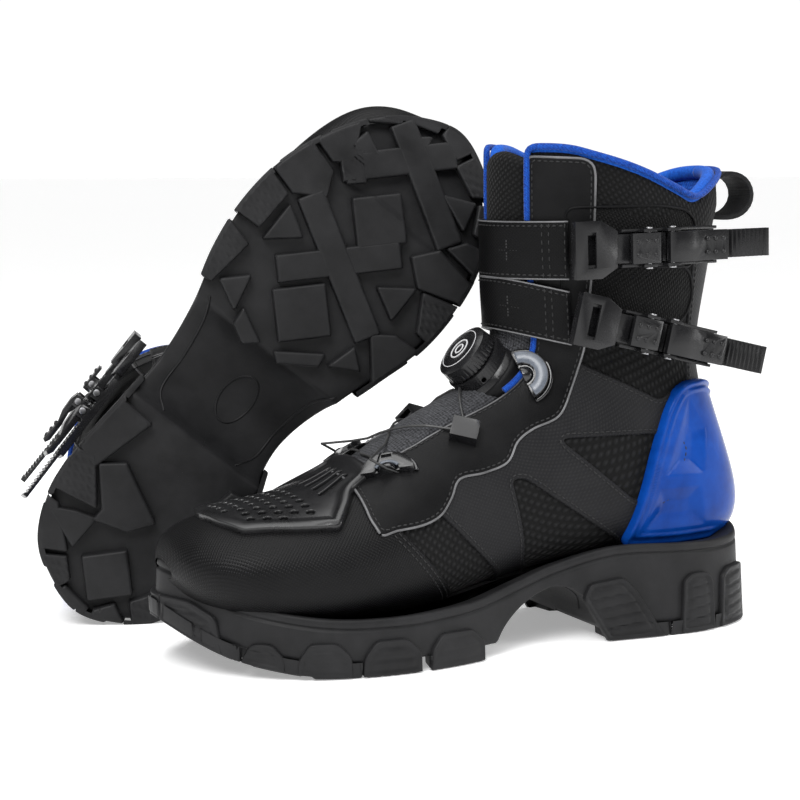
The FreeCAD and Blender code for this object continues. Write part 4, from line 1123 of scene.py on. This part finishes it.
HUB = [(0.05, 5.6), (1.6, 5.5), (3.2, 5.0), (4.4, 4.0), (4.6, 2.8)]
FOOT_ROLL = [(12.4, 0.6), (14.2, 0.6), (14.6, 1.0), (14.2, 1.5), (12.6, 1.9)]
pale, dark = [], []
for side in (1, -1):
    first, last = (0.10, math.pi - 0.10) if side > 0 else (-math.pi + 0.10, -0.10)
    top = seat_frame(133, 128, side, 118.0)
    low = seat_frame(207, 86, side, 150.0)
    pale.append(turned(flat_ring(6.4, 12.1, 3.9, 4.75), top, first, last, steps=36))
    pale.append(turned(flat_ring(4.9, 6.6, 3.9, 4.7), low, first + 0.35, last - 0.35, steps=30))
    for seat in (top, low):
        dark.append(turned(HUB, seat, first, last, steps=30, closed=False))
        dark.append(turned(FOOT_ROLL, seat, first - 0.1, last + 0.1, steps=36))
make("guide_rings", *join(pale), SILVER, slot="black_plastic")
make("guide_hubs", *join(dark), GLOSS, slot="black_plastic")
out_axis = np.array([0.77, 0, 0.64]) / math.hypot(0.77, 0.64)
up_axis = np.array([-out_axis[2], 0, out_axis[0]])
DIAL = (np.array([142.5, 0, 129.5]), up_axis, np.array([0, 1.0, 0]), out_axis)
KNOB_FACE = 18.5
DIAL_BED = [(15.5, 0.5), (19.3, 0.3), (20.3, -0.5), (20.9, -2.5), (21.0, -9.0)]


def thin_ring(radius, width):
    """A ring of round section, a little flattened, on the knob's face."""
    section = [(radius + width * math.cos(k * math.pi / 4), KNOB_FACE + 0.8 * width * math.sin(k * math.pi / 4))
               for k in range(8)]
    return turned(section, DIAL)


make("dial_marks", *join([thin_ring(5.3, 0.42), thin_ring(2.5, 0.42), thin_ring(10.9, 0.22)]), MARK, body="dial_knob",
     slot="black_plastic")
make("dial_bed", *turned(DIAL_BED, DIAL, closed=False), STAY, slot="black_leather")


def arch_line(run, width, closed=False):
    return tube(np.column_stack([run, plate_z(run[:, 0]) - 0.1]), width, 6, closed)


turn = np.linspace(0, 2 * math.pi, 61)[:-1]
lines = [arch_line(np.column_stack([131 + 14 * np.cos(turn), -1 + 8.5 * np.sin(turn)]), 0.55, closed=True)]
for points in ([(104, 26), (112, 33), (132, 34), (152, 38), (164, 44)],
               [(104, -20), (114, -27), (132, -28), (152, -31), (163, -38)]):
    lines.append(arch_line(spline(points, 12), 0.6))
make("arch_lines", *join(lines), RUBBER, slot="sole_rubber")

# ---- CAD nodes that keep their shape ----
FINISH = {"lace_guides": GLOSS, "dial_housing": PLASTIC, "dial_spool": PLASTIC, "dial_carrier": PLASTIC,
          "dial_knob": PLASTIC, "buckle_pins": STEEL, "lace_cable": WIRE, "pull_loop": WEB, "footbed": FOAM,
          "insole_board": FOAM, "stiffeners": FOAM, "shank": STEEL}
for kind in BUCKLES:
    for part in ("coupler", "ladder", "buckle_base", "release_tab", "lever"):
        FINISH[kind + "_" + part] = PLASTIC
BEVEL = {"lace_guides": 0.5, "dial_housing": 0.5, "dial_knob": 0.25, "pull_loop": 0.5, "coupler": 0.45, "base": 0.45,
         "tab": 0.45, "lever": 0.45}
PLAIN_EDGES = ("shank", "insole_board", "stiffeners", "footbed", "lace_cable", "dial_spool")
for name, node in frame["nodes"].items():
    part = name.split("_", 1)[1]
    if part not in FINISH:
        continue
    node.data.materials.clear()
    node.data.materials.append(FINISH[part])
    if part in PLAIN_EDGES:
        continue
    weld = node.modifiers.new("weld", "WELD")
    weld.merge_threshold = 0.00001
    flat = node.modifiers.new("flat", "DECIMATE")
    flat.decimate_type = "DISSOLVE"
    flat.angle_limit = math.radians(2)
    edge = node.modifiers.new("edge", "BEVEL")
    edge.width = BEVEL.get(part, BEVEL.get(part.split("_")[-1], 0.2)) * MM
    edge.segments = 2
    edge.limit_method = "ANGLE"
    edge.angle_limit = math.radians(38)
    edge.harden_normals = True
    node.data.shade_smooth()

# ---- floor, light and camera ----
def floor(half=40):
    mesh = bpy.data.meshes.new("floor")
    mesh.from_pydata([(-half, -half, 0), (half, -half, 0), (half, half, 0), (-half, half, 0)], [], [(0, 1, 2, 3)])
    obj = bpy.data.objects.new("floor", mesh)
    bpy.context.scene.collection.objects.link(obj)
    m = Nodes("floor_paper")
    m.link("Base Color", m.tint(m.noise(0.6, 2.0), (0.90, 0.90, 0.90), (0.93, 0.93, 0.93)))
    m.link("Roughness", 0.8)
    m.link("Specular IOR Level", 0.1)
    m.link("Emission Color", (1.0, 1.0, 1.0))
    m.link("Emission Strength", 0.33)
    mesh.materials.append(m.mat)


def studio():
    """A white horizon that fades to dim overhead, so that the dark leather doesn't turn grey."""
    world = bpy.data.worlds.new("studio")
    bpy.context.scene.world = world
    world.use_nodes = True
    sky = world.node_tree
    where = sky.nodes.new("ShaderNodeTexCoord")
    split = sky.nodes.new("ShaderNodeSeparateXYZ")
    fade = sky.nodes.new("ShaderNodeMapRange")
    fade.interpolation_type = "SMOOTHSTEP"
    for socket, value in (("From Min", 0.08), ("From Max", 0.24), ("To Min", 1.05), ("To Max", 0.10)):
        fade.inputs[socket].default_value = value
    sky.links.new(where.outputs["Generated"], split.inputs[0])
    sky.links.new(split.outputs[2], fade.inputs["Value"])
    sky.nodes["Background"].inputs["Color"].default_value = (1, 1, 1, 1)
    sky.links.new(fade.outputs[0], sky.nodes["Background"].inputs["Strength"])
    bpy.context.scene.view_settings.view_transform = "Standard"


def area(name, place, target, size, power):
    data = bpy.data.lights.new(name, "AREA")
    data.shape = "RECTANGLE"
    data.size, data.size_y = size
    data.energy = power
    obj = bpy.data.objects.new(name, data)
    obj.location = place
    obj.rotation_mode = "QUATERNION"
    obj.rotation_quaternion = (Vector(target) - Vector(place)).to_track_quat("-Z", "Y")
    bpy.context.scene.collection.objects.link(obj)


def ceiling():
    sun = bpy.data.objects.new("ceiling", bpy.data.lights.new("ceiling", "SUN"))
    sun.data.energy, sun.data.angle = 2.0, math.radians(70)
    sun.rotation_euler = (math.radians(18), math.radians(-10), 0)
    bpy.context.scene.collection.objects.link(sun)


AZIMUTH, ELEVATION, DISTANCE = math.radians(-26), math.radians(7), 0.972
AIM = Vector(to_row([159, 0, 110], "left"))
FRAMING = -0.06875, 0.01625                # shift of the picture as a share of its width


def camera():
    back = Vector((math.sin(AZIMUTH) * math.cos(ELEVATION), -math.cos(AZIMUTH) * math.cos(ELEVATION),
                   math.sin(ELEVATION)))
    cam = bpy.data.cameras.new("camera")
    cam.lens, cam.sensor_width = 90, 36
    cam.shift_x, cam.shift_y = FRAMING
    cam.clip_start, cam.clip_end = 0.01, 100
    eye = bpy.data.objects.new("camera", cam)
    eye.location = AIM + back * DISTANCE
    eye.rotation_mode = "QUATERNION"
    eye.rotation_quaternion = (-back).to_track_quat("-Z", "Y")
    bpy.context.scene.collection.objects.link(eye)
    bpy.context.scene.camera = eye


floor()
studio()
ceiling()
area("key", (-0.9, -1.0, 1.3), (0, -0.05, 0.12), (0.8, 0.8), 20)
area("side", (1.3, -0.9, 0.7), (0.05, -0.1, 0.12), (0.4, 1.1), 8)
area("top", (0.1, 0.3, 1.5), (0, 0, 0.1), (1.4, 0.7), 8)
camera()
